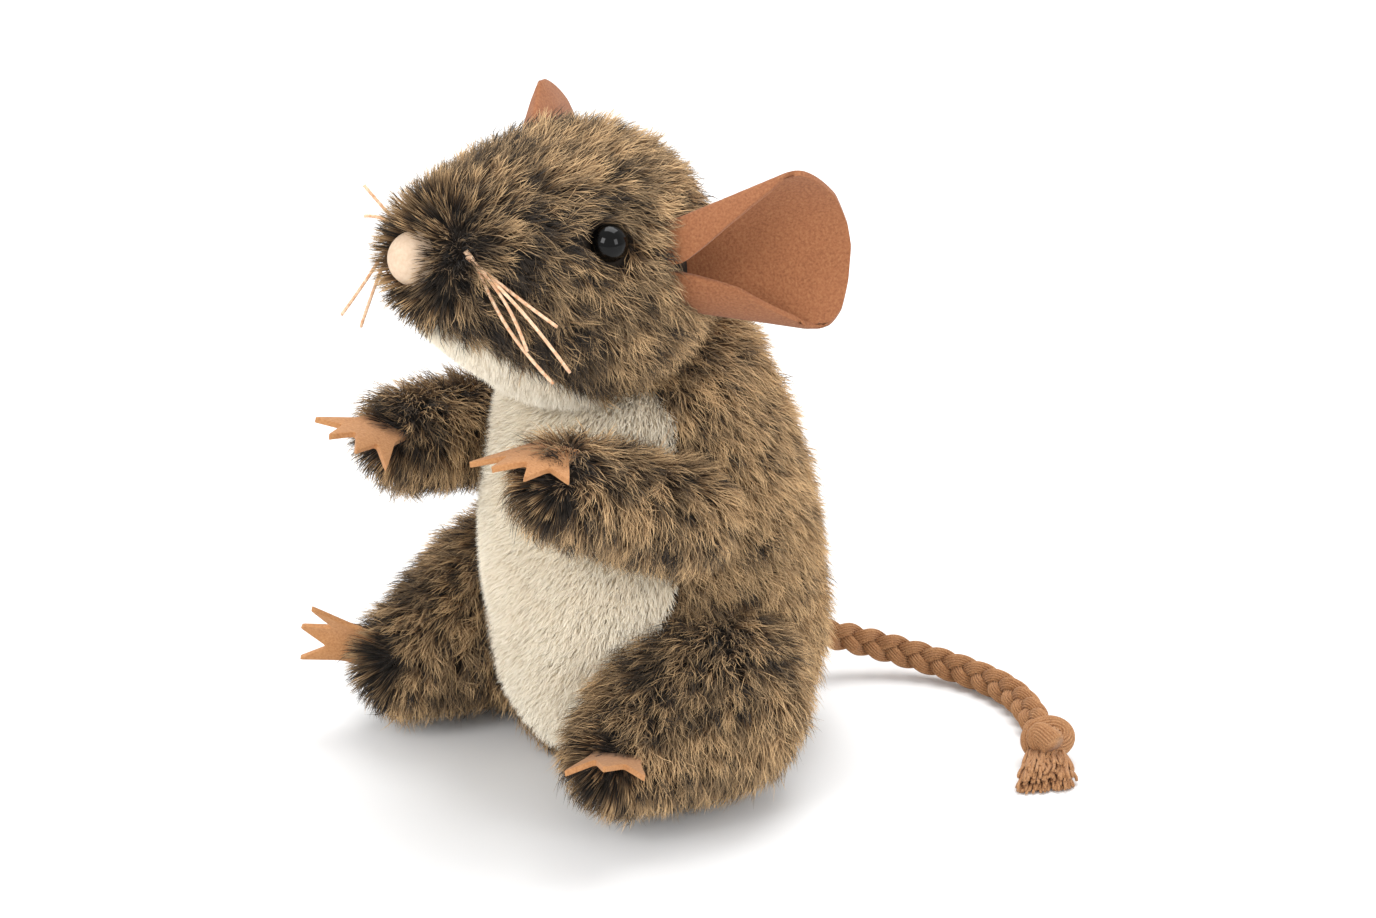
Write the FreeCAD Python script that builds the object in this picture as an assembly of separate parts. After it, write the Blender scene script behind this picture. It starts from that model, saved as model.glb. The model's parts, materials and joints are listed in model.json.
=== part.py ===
# Seated plush mouse with jointed head, arms and legs: fur fabric skins over stuffing, felt ears,
# hands and feet, bead eyes, thread whiskers and a braided cord tail. Millimetres. +Z is up, the
# mouse faces -Y, its left side is +X, and the origin is on the flat seat it sits on.
import FreeCAD, Part
import math
import os

# --- driving dimensions -------------------------------------------------------------------------
SKIN = 3.5              # fur fabric with its pile at rest
SOFT_GAP = 0.15         # air between a skin and the stuffing in it
JOINT_GAP = 0.3         # air between the pile of two parts that turn on each other
FELT = 1.0              # wool felt sheet

TORSO_FOOT = (0.0, 3.0, 0.0)      # where the torso's own axis meets the ground
TORSO_LEAN = 6.5                  # degrees that axis leans forward
TORSO_BOTTOM = (16.0, -5.0)       # radius and height along the axis, from bottom to top
TORSO_HAUNCH = (26.6, 9.0)
TORSO_WIDEST = (28.8, 27.0)
TORSO_WAIST = (27.2, 50.0)
TORSO_SHOULDER = (22.6, 66.0)
TORSO_TOP_ROUND = (19.4, 73.6)
TORSO_TOP = (12.0, 79.0)

# which way the outline faces at each of those points, for the surface inside the skin
TORSO_FACINGS = {"bottom": (0.85, -0.5), "haunch": (0.95, -0.3), "waist": (0.99, 0.14),
                 "shoulder": (0.93, 0.37), "top_round": (0.8, 0.6), "top": (0.5, 0.85)}

PANEL_OUTLINE = ((0.0, 5.5), (13.0, 13.0), (21.5, 36.0), (20.0, 55.0), (16.0, 82.0))

HEAD_CENTRE = (0.0, -16.4, 86.5)
HEAD_RADIUS = 23.2
HEAD_RAISE = 17.6                 # degrees the snout points above level
TEMPLE_ANGLE = 62.0               # degrees off the snout's line where the round skull ends
BROW = (21.5, 15.9)               # distance in front of the head centre, and radius there
MUZZLE = (30.6, 9.9)
MUZZLE_ROUND = (34.6, 5.8)
SNOUT_TIP = 36.0
# which way the head's outline faces at each of those points: ahead, and out
HEAD_FACINGS = {"brow": (0.5, 0.87), "muzzle": (0.52, 0.85), "muzzle_round": (0.8, 0.6)}
NECK_TILT = 20.0                  # degrees the neck pin leans forward
NECK_DROP = 17.0                  # from the head centre down to the torso's top face

THIGH_RADIUS = 17.5
FOOT_RADIUS = 10.3
LEG_FLAT = 15.0                   # the leg's flat inner face, from the middle plane
LEG_LIFT_RADIUS = 22.0            # room ahead of and above the hip for the leg as it lifts
LEG_LIFT_ANGLE = 78.0             # degrees above level that this room reaches
LEGS = {"left": {"thigh": (24.0, -9.0, 18.0), "foot": (26.0, -28.8, 14.2)},
        "right": {"thigh": (-24.0, -10.0, 18.0), "foot": (-26.5, -31.5, 12.4)}}

SHOULDER_RADIUS = 10.2
PAW_RADIUS = 9.6
SHOULDER_TILT = 8.0               # degrees the shoulder pin points above level
SHOULDER_TURN = 4.0               # degrees it points ahead
ARM_FLAT = 6.5                    # from the shoulder centre in to the arm's flat face
ARM_FLAT_RADIUS = 16.2            # the flat face, from the pin out
POCKET_ROOM = 0.5                 # the torso's pockets are this much larger than the limb's round
ARMS = {"left": {"shoulder": (23.8, -14.8, 51.5), "paw": (22.6, -37.0, 62.2)},
        "right": {"shoulder": (-23.8, -14.8, 51.5), "paw": (-22.6, -33.2, 55.0)}}

HIP_DISC_RADIUS = 7.5
SHOULDER_DISC_RADIUS = 5.2
DISC_THICK = 1.5
NECK_DISC_RADIUS = 10.5
WASHER_RADIUS = 3.6
WASHER_THICK = 0.6
PIN_RADIUS = 0.9
PIN_HEAD_RADIUS = 1.8
PIN_CURL = 4.2                    # length of each bent-over leg of a split pin
PIN_CURL_RADIUS = 0.7
PIN_CURL_LINE = (0.1, 0.2, 0.97)  # roughly where the bent legs point
PIN_HOLE_REACH = 10.0             # the hole through both skins, each way from the joint's face
RUNNING_FIT = 0.08                # radial, where a disc turns on a pin
SNUG_FIT = 0.03                   # radial, where a disc or washer stays still on its pin or shank

EYE_RADIUS = 3.0
EYE_PLACE = (17.6, -23.7, 97.5)
NOSE_RADIUS = 4.3
NOSE_PLACE = (0.0, -47.7, 95.7)
SHANK_RADIUS = 1.0
SHANK_LENGTH = 8.0
NOSE_SHANK_LENGTH = 10.0
EYE_FORWARD = 0.45                # how far the eyes look ahead of straight out
SHANK_WASHER_RADIUS = 3.0
EYE_WASHER_DEPTH = 6.0            # from the bead's centre
NOSE_WASHER_DEPTH = 7.0
SHANK_END_ROOM = 5.0              # hollow left in the stuffing past a washer

EAR_LENGTH = 28.0
EAR_BASE_RADIUS = 6.6
EAR_MOUTH_RADIUS = 13.6
EAR_WRAP = 180.0                  # degrees of the cone that the felt covers
EAR_RIM_BALLS = ((0.30, 0.74), (0.0, 0.50))   # place along and radius, as shares of the length
EAR_ROOT = (18.2, -11.3, 92.9)
EAR_POINTING = (0.70, 0.70, 0.06)
EAR_OPEN_TO = (0.70, -0.70, 0.10)

WHISKER_RADIUS = 0.33
WHISKER_ROOT = (8.0, -44.5, 98.0)
WHISKER_TIPS = ((20.0, -36.0, 87.5), (22.0, -35.2, 80.4), (20.0, -36.9, 78.4), (17.0, -39.5, 83.5))

HAND_LENGTH = 15.0
HAND_WIDTH = 17.0
FOOT_LENGTH = 15.0
FOOT_WIDTH = 13.0
HANDS = {"left": {"root": (20.8, -36.2, 67.9), "ahead": (0.31, -0.94, 0.13),
                  "side": (0.94, 0.32, 0.09)},
         "right": {"root": (-21.6, -37.3, 58.0), "ahead": (0.35, -0.91, 0.23),
                   "side": (-0.92, -0.30, 0.24)}}
FEET = {"left": {"root": (28.6, -30.8, 16.2), "ahead": (0.60, -0.73, 0.33),
                 "side": (0.77, 0.63, -0.01)},
        "right": {"root": (-28.8, -34.8, 15.8), "ahead": (-0.68, -0.65, 0.32),
                  "side": (-0.63, 0.30, -0.72)}}

HAND_OUTLINE = ((-0.22, 0.0), (-0.26, 0.38), (-0.50, 0.88), (-0.20, 0.62), (-0.18, 1.0), (0.03, 0.66),
                (0.16, 0.97), (0.22, 0.58), (0.50, 0.70), (0.26, 0.30), (0.22, 0.0))
FOOT_OUTLINE = ((-0.30, 0.0), (-0.32, 0.45), (-0.50, 0.95), (-0.18, 0.62), (0.0, 1.0), (0.18, 0.62),
                (0.50, 0.90), (0.32, 0.42), (0.30, 0.0))

CORD_RADIUS = 2.5
ARC_SHARE = 0.45                  # of the shorter run that a bend's arc takes up
TAIL_ROUTE = ((0.5, 27.2, 9.6), (2.8, 34.4, 8.3), (7.8, 41.4, 5.8), (14.6, 47.4, 3.7),
              (22.8, 51.0, 2.8), (31.6, 51.8, 2.7), (40.0, 49.3, 2.7), (47.2, 44.6, 2.7))
KNOT_RADII = (4.6, 5.3)           # across the cord and along it
KNOT_MOUTH = 2.7                  # radius where the cord goes in
KNOT_RISE = 0.22                  # its axis rises off the cord's line
TASSEL_RADII = (2.3, 3.7)         # at the knot and at the cut end
TASSEL_LENGTH = 7.5
TASSEL_FALL = 0.4                 # down for each unit ahead
ANCHOR_KNOT_RADIUS = 3.0
ANCHOR_KNOT_DEPTH = 7.2
PELLET_BAG_RADIUS = 9.0
PELLET_BAG_HEIGHT = 11.0
PELLET_BAG_PLACE = (0.0, 7.4, 9.8)
BIG = 200.0


# --- helpers ------------------------------------------------------------------------------------
def vec(point):
    return FreeCAD.Vector(*point)


def mirrored(point, side):
    return (point[0] if side == "left" else -point[0], point[1], point[2])


def along(start, direction, distance):
    return vec(start) + unit(direction) * distance


def unit(direction):
    result = FreeCAD.Vector(*direction)
    result.normalize()
    return result


def line(start, end):
    return Part.LineSegment(start, end).toShape()


def arc(start, middle, end):
    return Part.Arc(start, middle, end).toShape()


def ball(centre, radius):
    return Part.makeSphere(radius, vec(centre))


def rod(start, direction, length, radius):
    return Part.makeCylinder(radius, length, vec(start), unit(direction))


def half_space(point, direction):
    """A large block on the side of the plane through point that direction points to."""
    slab = Part.makeBox(BIG, BIG, BIG, FreeCAD.Vector(-BIG / 2, -BIG / 2, 0))
    turn = FreeCAD.Rotation(FreeCAD.Vector(0, 0, 1), unit(direction))
    slab.Placement = FreeCAD.Placement(vec(point), turn)
    return slab


def tapered_capsule(first, first_radius, second, second_radius):
    """The smooth skin drawn round two balls, as one turned solid."""
    axis = vec(second) - vec(first)
    span = axis.Length
    slope = (first_radius - second_radius) / span
    flank = math.sqrt(1 - slope * slope)

    def on(centre, radius, cosine, sine):
        return FreeCAD.Vector(radius * sine, 0, centre + radius * cosine)

    half = math.sin(math.pi / 4)
    edges = [arc(on(0, first_radius, -1, 0), on(0, first_radius, -half, half),
                 on(0, first_radius, slope, flank)),
             line(on(0, first_radius, slope, flank), on(span, second_radius, slope, flank)),
             arc(on(span, second_radius, slope, flank), on(span, second_radius, half, half),
                 on(span, second_radius, 1, 0)),
             line(on(span, second_radius, 1, 0), on(0, first_radius, -1, 0))]
    solid = turned(edges)
    solid.Placement = FreeCAD.Placement(vec(first), FreeCAD.Rotation(FreeCAD.Vector(0, 0, 1), axis))
    return solid


def turned(edges):
    face = Part.Face(Part.Wire(Part.__sortEdges__(edges)))
    return face.revolve(FreeCAD.Vector(0, 0, 0), FreeCAD.Vector(0, 0, 1), 360)


def one_solid(shape):
    """The largest solid of a cut, cleaned of split faces."""
    solids = sorted(shape.Solids, key=lambda solid: solid.Volume)
    return solids[-1].removeSplitter()


def export(node, *shapes):
    shape = shapes[0] if len(shapes) == 1 else Part.makeCompound(list(shapes))
    if not shape.isValid():
        print("invalid", node)
    shape.exportStep("parts/" + node + ".step")
    print(f"{node:26s} solids {len(shape.Solids)}  volume {shape.Volume:10.1f} mm3")


# --- joint hardware: a disc and a washer each side of the two skins, on a split pin ---------------
def joint_hardware(face_point, outward, disc_radius):
    """outward points from the torso into the limb, and face_point is on the torso's face.

    Returns the torso's disc and washer, the limb's disc and washer, the pin, and the hollows that
    the torso's and the limb's stuffing leave for them.
    """
    inner = along(face_point, outward, -SKIN - SOFT_GAP)
    outer = along(face_point, outward, JOINT_GAP + SKIN + SOFT_GAP)
    back = unit(outward) * -1
    bore = PIN_RADIUS + RUNNING_FIT
    torso_disc = rod(inner, back, DISC_THICK, disc_radius).cut(rod(inner, back, DISC_THICK, bore))
    washer_at = along(inner, back, DISC_THICK)
    torso_washer = rod(washer_at, back, WASHER_THICK, WASHER_RADIUS)
    torso_washer = torso_washer.cut(rod(washer_at, back, WASHER_THICK, bore))
    limb_disc = rod(outer, outward, DISC_THICK, disc_radius)
    limb_disc = limb_disc.cut(rod(outer, outward, DISC_THICK, PIN_RADIUS + SNUG_FIT))
    limb_washer_at = along(outer, outward, DISC_THICK)
    limb_washer = rod(limb_washer_at, outward, WASHER_THICK, WASHER_RADIUS)
    limb_washer = limb_washer.cut(rod(limb_washer_at, outward, WASHER_THICK, PIN_RADIUS + SNUG_FIT))
    head_at = along(limb_washer_at, outward, WASHER_THICK)
    tail_at = along(washer_at, back, WASHER_THICK + SOFT_GAP)
    curl_at = along(tail_at, back, PIN_CURL_RADIUS)
    shank = rod(head_at, back, (curl_at - head_at).Length, PIN_RADIUS)
    sideways = unit(back.cross(vec(PIN_CURL_LINE)))
    curls = rod(curl_at - sideways * PIN_CURL, sideways, 2 * PIN_CURL, PIN_CURL_RADIUS)
    pin = shank.fuse(rod(head_at, outward, PIN_RADIUS, PIN_HEAD_RADIUS)).fuse(curls)
    stack = DISC_THICK + WASHER_THICK + 3 * PIN_RADIUS + 2 * SOFT_GAP
    torso_hollow = rod(inner, back, stack + PIN_RADIUS, disc_radius + SOFT_GAP)
    limb_hollow = rod(outer, outward, stack, disc_radius + SOFT_GAP)
    return {"torso_disc": torso_disc, "torso_washer": torso_washer, "disc": limb_disc,
            "washer": limb_washer, "pin": pin.removeSplitter(), "torso_hollow": torso_hollow,
            "limb_hollow": limb_hollow}


def pin_hole(hardware_point, outward, clearance):
    start = along(hardware_point, outward, -PIN_HOLE_REACH)
    return rod(start, outward, 2 * PIN_HOLE_REACH, PIN_RADIUS + clearance)


# --- where the five joints are ------------------------------------------------------------------
def neck_direction():
    tilt = math.radians(NECK_TILT)
    return (0.0, -math.sin(tilt), math.cos(tilt))


def neck_point():
    return tuple(along(HEAD_CENTRE, neck_direction(), -NECK_DROP))


def shoulder_direction(side):
    tilt = math.radians(SHOULDER_TILT)
    turn = math.radians(SHOULDER_TURN)
    level = math.cos(tilt)
    return mirrored((level * math.cos(turn), -level * math.sin(turn), math.sin(tilt)), side)


def shoulder_face(side):
    """The centre of the torso's face that the arm turns on."""
    return tuple(along(ARMS[side]["shoulder"], shoulder_direction(side), -ARM_FLAT - JOINT_GAP))


def hip_direction(side):
    return mirrored((1.0, 0.0, 0.0), side)


def hip_face(side):
    thigh = LEGS[side]["thigh"]
    return mirrored((LEG_FLAT - JOINT_GAP, thigh[1], thigh[2]), side)


# --- torso --------------------------------------------------------------------------------------
def torso_form(inset):
    """The torso as turned, leaned and cut flat at the seat and the neck, inset all over."""
    def at(pair, outward=(1.0, 0.0)):
        return FreeCAD.Vector(pair[0] - inset * outward[0], 0, pair[1] - inset * outward[1])

    bottom = at(TORSO_BOTTOM, TORSO_FACINGS["bottom"])
    haunch = at(TORSO_HAUNCH, TORSO_FACINGS["haunch"])
    widest = at(TORSO_WIDEST)
    waist = at(TORSO_WAIST, TORSO_FACINGS["waist"])
    shoulder = at(TORSO_SHOULDER, TORSO_FACINGS["shoulder"])
    top_round = at(TORSO_TOP_ROUND, TORSO_FACINGS["top_round"])
    top = at(TORSO_TOP, TORSO_FACINGS["top"])
    foot_end = FreeCAD.Vector(0, 0, bottom.z)
    top_end = FreeCAD.Vector(0, 0, top.z)
    edges = [line(foot_end, bottom), arc(bottom, haunch, widest), arc(widest, waist, shoulder),
             arc(shoulder, top_round, top), line(top, top_end), line(top_end, foot_end)]
    solid = turned(edges)
    lean = FreeCAD.Rotation(FreeCAD.Vector(1, 0, 0), TORSO_LEAN)
    solid.Placement = FreeCAD.Placement(vec(TORSO_FOOT), lean)
    solid = solid.cut(half_space((0, 0, inset), (0, 0, -1)))
    return solid.cut(half_space(along(neck_point(), neck_direction(), -inset), neck_direction()))


def limb_pockets(inset):
    """The hollows in the torso's flanks where the thighs and shoulders sit and swing."""
    pockets = []
    for side in ("left", "right"):
        face = along(hip_face(side), hip_direction(side), -inset)
        pockets.append(rod(face, hip_direction(side), BIG, THIGH_RADIUS + POCKET_ROOM + inset))
        pockets.extend(leg_swing(side, face, inset))
        face = along(shoulder_face(side), shoulder_direction(side), -inset)
        pockets.append(rod(face, shoulder_direction(side), BIG, ARM_FLAT_RADIUS + POCKET_ROOM + inset))
    return pockets


def leg_swing(side, face, inset):
    """Room for the leg to lift a little, and to swing down past the edge of the seat."""
    angle = LEG_LIFT_ANGLE
    wedge = Part.makeCylinder(LEG_LIFT_RADIUS + inset, BIG, FreeCAD.Vector(0, 0, 0),
                              FreeCAD.Vector(0, 0, 1), angle)
    ahead = FreeCAD.Vector(0, -1, 0)
    outward = unit(hip_direction(side))
    if side == "left":
        lowest = FreeCAD.Vector(0, -math.cos(math.radians(angle)), math.sin(math.radians(angle)))
        turn = FreeCAD.Rotation(lowest, outward.cross(lowest), outward, "ZXY")
    else:
        turn = FreeCAD.Rotation(ahead, outward.cross(ahead), outward, "ZXY")
    wedge.Placement = FreeCAD.Placement(face, turn)
    half_width = THIGH_RADIUS + POCKET_ROOM + inset
    slot = Part.makeBox(BIG, 2 * half_width, BIG)
    low_x = face.x if side == "left" else face.x - BIG
    slot.Placement = FreeCAD.Placement(FreeCAD.Vector(low_x, face.y - half_width, face.z - BIG),
                                       FreeCAD.Rotation())
    return [wedge, slot]


def front_panel_tool():
    """A straight-sided block over the front of the torso, with the outline of the pale panel."""
    points = [FreeCAD.Vector(x, 0, z) for x, z in PANEL_OUTLINE]
    other = [FreeCAD.Vector(-x, 0, z) for x, z in PANEL_OUTLINE[:0:-1]]
    right_curve = Part.BSplineCurve()
    right_curve.interpolate(points)
    left_curve = Part.BSplineCurve()
    left_curve.interpolate(other + [points[0]])
    edges = [right_curve.toShape(), line(points[-1], other[0]), left_curve.toShape()]
    face = Part.Face(Part.Wire(edges))
    return face.extrude(FreeCAD.Vector(0, -BIG, 0))


def build_torso(joints):
    outer = torso_form(0)
    for pocket in limb_pockets(0):
        outer = outer.cut(pocket)
    inner = torso_form(SKIN)
    for pocket in limb_pockets(SKIN):
        inner = inner.cut(pocket)
    inner = one_solid(inner)
    skin = outer.cut(inner)
    for point, direction in joints:
        skin = skin.cut(pin_hole(point, direction, RUNNING_FIT))
    skin = skin.cut(rod(TAIL_ROUTE[0], tail_direction(), SKIN * 3, CORD_RADIUS))
    anchor_hole = rod(along(TAIL_ROUTE[0], tail_direction(), -SKIN * 2), tail_direction(),
                      SKIN * 2, CORD_RADIUS)
    skin = skin.cut(anchor_hole)
    tool = front_panel_tool()
    return one_solid(skin.cut(tool)), one_solid(skin.common(tool)), inner


def tail_direction():
    return tuple(vec(TAIL_ROUTE[1]) - vec(TAIL_ROUTE[0]))


def tail_anchor_solids():
    """The cord's stub through the back seam, ending in a knot sewn down inside."""
    knot_at = along(TAIL_ROUTE[0], tail_direction(), -ANCHOR_KNOT_DEPTH)
    stub = rod(knot_at, tail_direction(), ANCHOR_KNOT_DEPTH, CORD_RADIUS)
    knot = ball(tuple(knot_at), ANCHOR_KNOT_RADIUS)
    return stub.fuse(knot).removeSplitter()


def pellet_bag(grow):
    """A round, flat cloth bag of pellets with a rounded rim."""
    half = PELLET_BAG_HEIGHT / 2 + grow
    flat = PELLET_BAG_RADIUS - PELLET_BAG_HEIGHT / 2
    low = FreeCAD.Vector(0, 0, -half)
    high = FreeCAD.Vector(0, 0, half)
    low_rim = FreeCAD.Vector(flat, 0, -half)
    high_rim = FreeCAD.Vector(flat, 0, half)
    edges = [line(low, low_rim), arc(low_rim, FreeCAD.Vector(flat + half, 0, 0), high_rim),
             line(high_rim, high), line(high, low)]
    bag = turned(edges)
    bag.Placement = FreeCAD.Placement(vec(PELLET_BAG_PLACE), FreeCAD.Rotation())
    return bag


# --- head ---------------------------------------------------------------------------------------
def snout_direction():
    raise_angle = math.radians(HEAD_RAISE)
    return (0.0, -math.cos(raise_angle), math.sin(raise_angle))


def head_form(inset):
    """The egg-shaped head with its blunt snout, cut flat at the neck."""
    radius = HEAD_RADIUS - inset
    start_angle = math.radians(TEMPLE_ANGLE)
    temple = FreeCAD.Vector(radius * math.sin(start_angle), 0, radius * math.cos(start_angle))

    def at(pair, facing):
        return FreeCAD.Vector(pair[1] - facing[1] * inset, 0, pair[0] - facing[0] * inset)

    brow = at(BROW, HEAD_FACINGS["brow"])
    muzzle = at(MUZZLE, HEAD_FACINGS["muzzle"])
    muzzle_round = at(MUZZLE_ROUND, HEAD_FACINGS["muzzle_round"])
    tip = FreeCAD.Vector(0, 0, SNOUT_TIP - inset)
    back = FreeCAD.Vector(0, 0, -radius)
    side = FreeCAD.Vector(radius, 0, 0)
    edges = [arc(back, side, temple), arc(temple, brow, muzzle), arc(muzzle, muzzle_round, tip),
             line(tip, back)]
    solid = turned(edges)
    pointing = FreeCAD.Rotation(FreeCAD.Vector(0, 0, 1), vec(snout_direction()))
    solid.Placement = FreeCAD.Placement(vec(HEAD_CENTRE), pointing)
    base = along(neck_point(), neck_direction(), JOINT_GAP + inset)
    down = tuple(unit(neck_direction()) * -1)
    return solid.cut(half_space(base, down))


def facing_out(place):
    """The direction out of the head at a point on it."""
    axis = unit(snout_direction())
    offset = vec(place) - vec(HEAD_CENTRE)
    level = offset - axis * offset.dot(axis)
    return tuple(unit(level) + axis * EYE_FORWARD)


def eye(side):
    place = mirrored(EYE_PLACE, side)
    inward = tuple(unit(facing_out(place)) * -1)
    return ball(place, EYE_RADIUS).fuse(rod(place, inward, SHANK_LENGTH, SHANK_RADIUS))


def nose():
    inward = tuple(unit(snout_direction()) * -1)
    return ball(NOSE_PLACE, NOSE_RADIUS).fuse(rod(NOSE_PLACE, inward, NOSE_SHANK_LENGTH, SHANK_RADIUS))


def shank_washer(place, inward, depth):
    seat = along(place, inward, depth)
    bore = rod(seat, inward, WASHER_THICK, SHANK_RADIUS + SNUG_FIT)
    return rod(seat, inward, WASHER_THICK, SHANK_WASHER_RADIUS).cut(bore)


def washer_hollow(place, inward, depth):
    seat = along(place, inward, depth - SOFT_GAP)
    return rod(seat, inward, WASHER_THICK + SHANK_END_ROOM, SHANK_WASHER_RADIUS + SOFT_GAP)


def ear(side):
    """A felt trumpet: a cone wrapped most of the way round, open to the front."""
    axis = unit(mirrored(EAR_POINTING, side))
    towards = vec(mirrored(EAR_OPEN_TO, side))
    open_side = unit(towards - axis * towards.dot(axis))
    root = vec(mirrored(EAR_ROOT, side))
    gap = 360.0 - EAR_WRAP

    def cone(grow):
        return Part.makeCone(EAR_BASE_RADIUS + grow, EAR_MOUTH_RADIUS + grow, EAR_LENGTH,
                             FreeCAD.Vector(0, 0, 0), FreeCAD.Vector(0, 0, 1), EAR_WRAP)

    shell = cone(0).cut(cone(-FELT))
    shell.rotate(FreeCAD.Vector(0, 0, 0), FreeCAD.Vector(0, 0, 1), gap / 2)
    rotation = FreeCAD.Rotation(open_side, axis.cross(open_side), axis, "ZXY")
    shell.Placement = FreeCAD.Placement(root, rotation).multiply(shell.Placement)
    rim, base = (ball(tuple(root + axis * EAR_LENGTH * place), EAR_LENGTH * radius)
                 for place, radius in EAR_RIM_BALLS)
    return one_solid(shell.common(rim.fuse(base)))


def whisker(side, tip):
    start = mirrored(WHISKER_ROOT, side)
    end = mirrored(tip, side)
    axis = vec(end) - vec(start)
    return rod(start, tuple(axis), axis.Length, WHISKER_RADIUS)


# --- felt hands and feet --------------------------------------------------------------------------
def felt_piece(place, outline, length, width):
    """A flat felt shape: outline is (share of width, share of length) from the root forward."""
    ahead = unit(place["ahead"])
    rough_side = vec(place["side"])
    side = unit(rough_side - ahead * rough_side.dot(ahead))
    normal = unit(ahead.cross(side))
    start = vec(place["root"]) - normal * (FELT / 2)
    points = [start + side * (across * width) + ahead * (forward * length)
              for across, forward in outline]
    edges = [line(a, b) for a, b in zip(points, points[1:] + points[:1])]
    return Part.Face(Part.Wire(edges)).extrude(normal * FELT)


# --- limbs --------------------------------------------------------------------------------------
def leg_form(side, inset):
    leg = LEGS[side]
    solid = tapered_capsule(leg["thigh"], THIGH_RADIUS - inset, leg["foot"], FOOT_RADIUS - inset)
    plane = mirrored((LEG_FLAT + inset, 0, 0), side)
    return solid.cut(half_space(plane, tuple(unit(hip_direction(side)) * -1)))


def arm_form(side, inset):
    arm = ARMS[side]
    solid = tapered_capsule(arm["shoulder"], SHOULDER_RADIUS - inset, arm["paw"], PAW_RADIUS - inset)
    face = along(arm["shoulder"], shoulder_direction(side), -ARM_FLAT + inset)
    inward = tuple(unit(shoulder_direction(side)) * -1)
    return solid.cut(rod(face, inward, BIG, ARM_FLAT_RADIUS + inset))


def build_limb(name, form, felt, face_point, outward, hardware):
    """Skin, stuffing, felt hand or foot and joint hardware of one limb."""
    skin = form(0).cut(form(SKIN))
    skin = skin.cut(pin_hole(face_point, outward, 0)).cut(felt)
    stuffing = form(SKIN + SOFT_GAP).cut(hardware["limb_hollow"]).cut(felt)
    export(name + "_skin", one_solid(skin))
    export(name + "_stuffing", one_solid(stuffing))
    export(name + "_disc", hardware["disc"])
    export(name + "_washer", hardware["washer"])
    export(name + "_pin", hardware["pin"])


# --- the tail's cord ------------------------------------------------------------------------------
def cord_path(route):
    """Straight runs joined by tangent arcs, each as large as its two runs allow."""
    points = [vec(point) for point in route]
    edges = []
    start = points[0]
    for before, corner, after in zip(points, points[1:], points[2:]):
        inward = (before - corner).normalize()
        onward = (after - corner).normalize()
        shorter = min((before - corner).Length, (after - corner).Length)
        half_turn = (math.pi - inward.getAngle(onward)) / 2
        radius = ARC_SHARE * shorter / math.tan(half_turn)
        print(f"tail arc radius {radius:6.1f} mm, turn {math.degrees(2 * half_turn):5.1f} degrees")
        entry = corner + inward * (ARC_SHARE * shorter)
        leave = corner + onward * (ARC_SHARE * shorter)
        bisector = (inward + onward).normalize()
        nearest = corner + bisector * (radius / math.cos(half_turn) - radius)
        edges.append(line(start, entry))
        edges.append(arc(entry, nearest, leave))
        start = leave
    edges.append(line(start, points[-1]))
    return Part.Wire(edges)


def cord_solid():
    path = cord_path(TAIL_ROUTE)
    circle = Part.Circle(vec(TAIL_ROUTE[0]), unit(tail_direction()), CORD_RADIUS).toShape()
    tube = path.makePipeShell([Part.Wire([circle])], True, False)
    expected = math.pi * CORD_RADIUS ** 2 * path.Length
    print(f"tail length {path.Length:6.1f} mm, volume {tube.Volume:8.1f}, section x length "
          f"{expected:8.1f}")
    return tube


def tail_end(cord):
    """The overhand knot as a plump ball, and the frayed end as a short flared plug."""
    end = vec(TAIL_ROUTE[-1])
    ahead = unit(tuple(end - vec(TAIL_ROUTE[-2])))
    across, lengthwise = KNOT_RADII
    low = FreeCAD.Vector(0, 0, 0)
    high = FreeCAD.Vector(0, 0, 2 * lengthwise)
    low_mouth = FreeCAD.Vector(KNOT_MOUTH, 0, 0)
    high_mouth = FreeCAD.Vector(KNOT_MOUTH, 0, 2 * lengthwise)
    widest = FreeCAD.Vector(across, 0, lengthwise)
    edges = [line(low, low_mouth), arc(low_mouth, widest, high_mouth), line(high_mouth, high),
             line(high, low)]
    knot = turned(edges)
    pitch = FreeCAD.Rotation(FreeCAD.Vector(0, 0, 1), ahead + FreeCAD.Vector(0, 0, KNOT_RISE))
    knot.Placement = FreeCAD.Placement(end, pitch)
    knot_axis = pitch.multVec(FreeCAD.Vector(0, 0, 1))
    tassel_root = end + knot_axis * (2 * lengthwise)
    fall = unit((ahead.x, ahead.y, -TASSEL_FALL))
    tassel = Part.makeCone(*TASSEL_RADII, TASSEL_LENGTH, tassel_root, fall)
    tassel = tassel.cut(knot).cut(half_space((0, 0, 0), (0, 0, -1)))
    knot = knot.cut(half_space((0, 0, 0), (0, 0, -1))).cut(cord)
    return one_solid(knot), one_solid(tassel)


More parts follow.
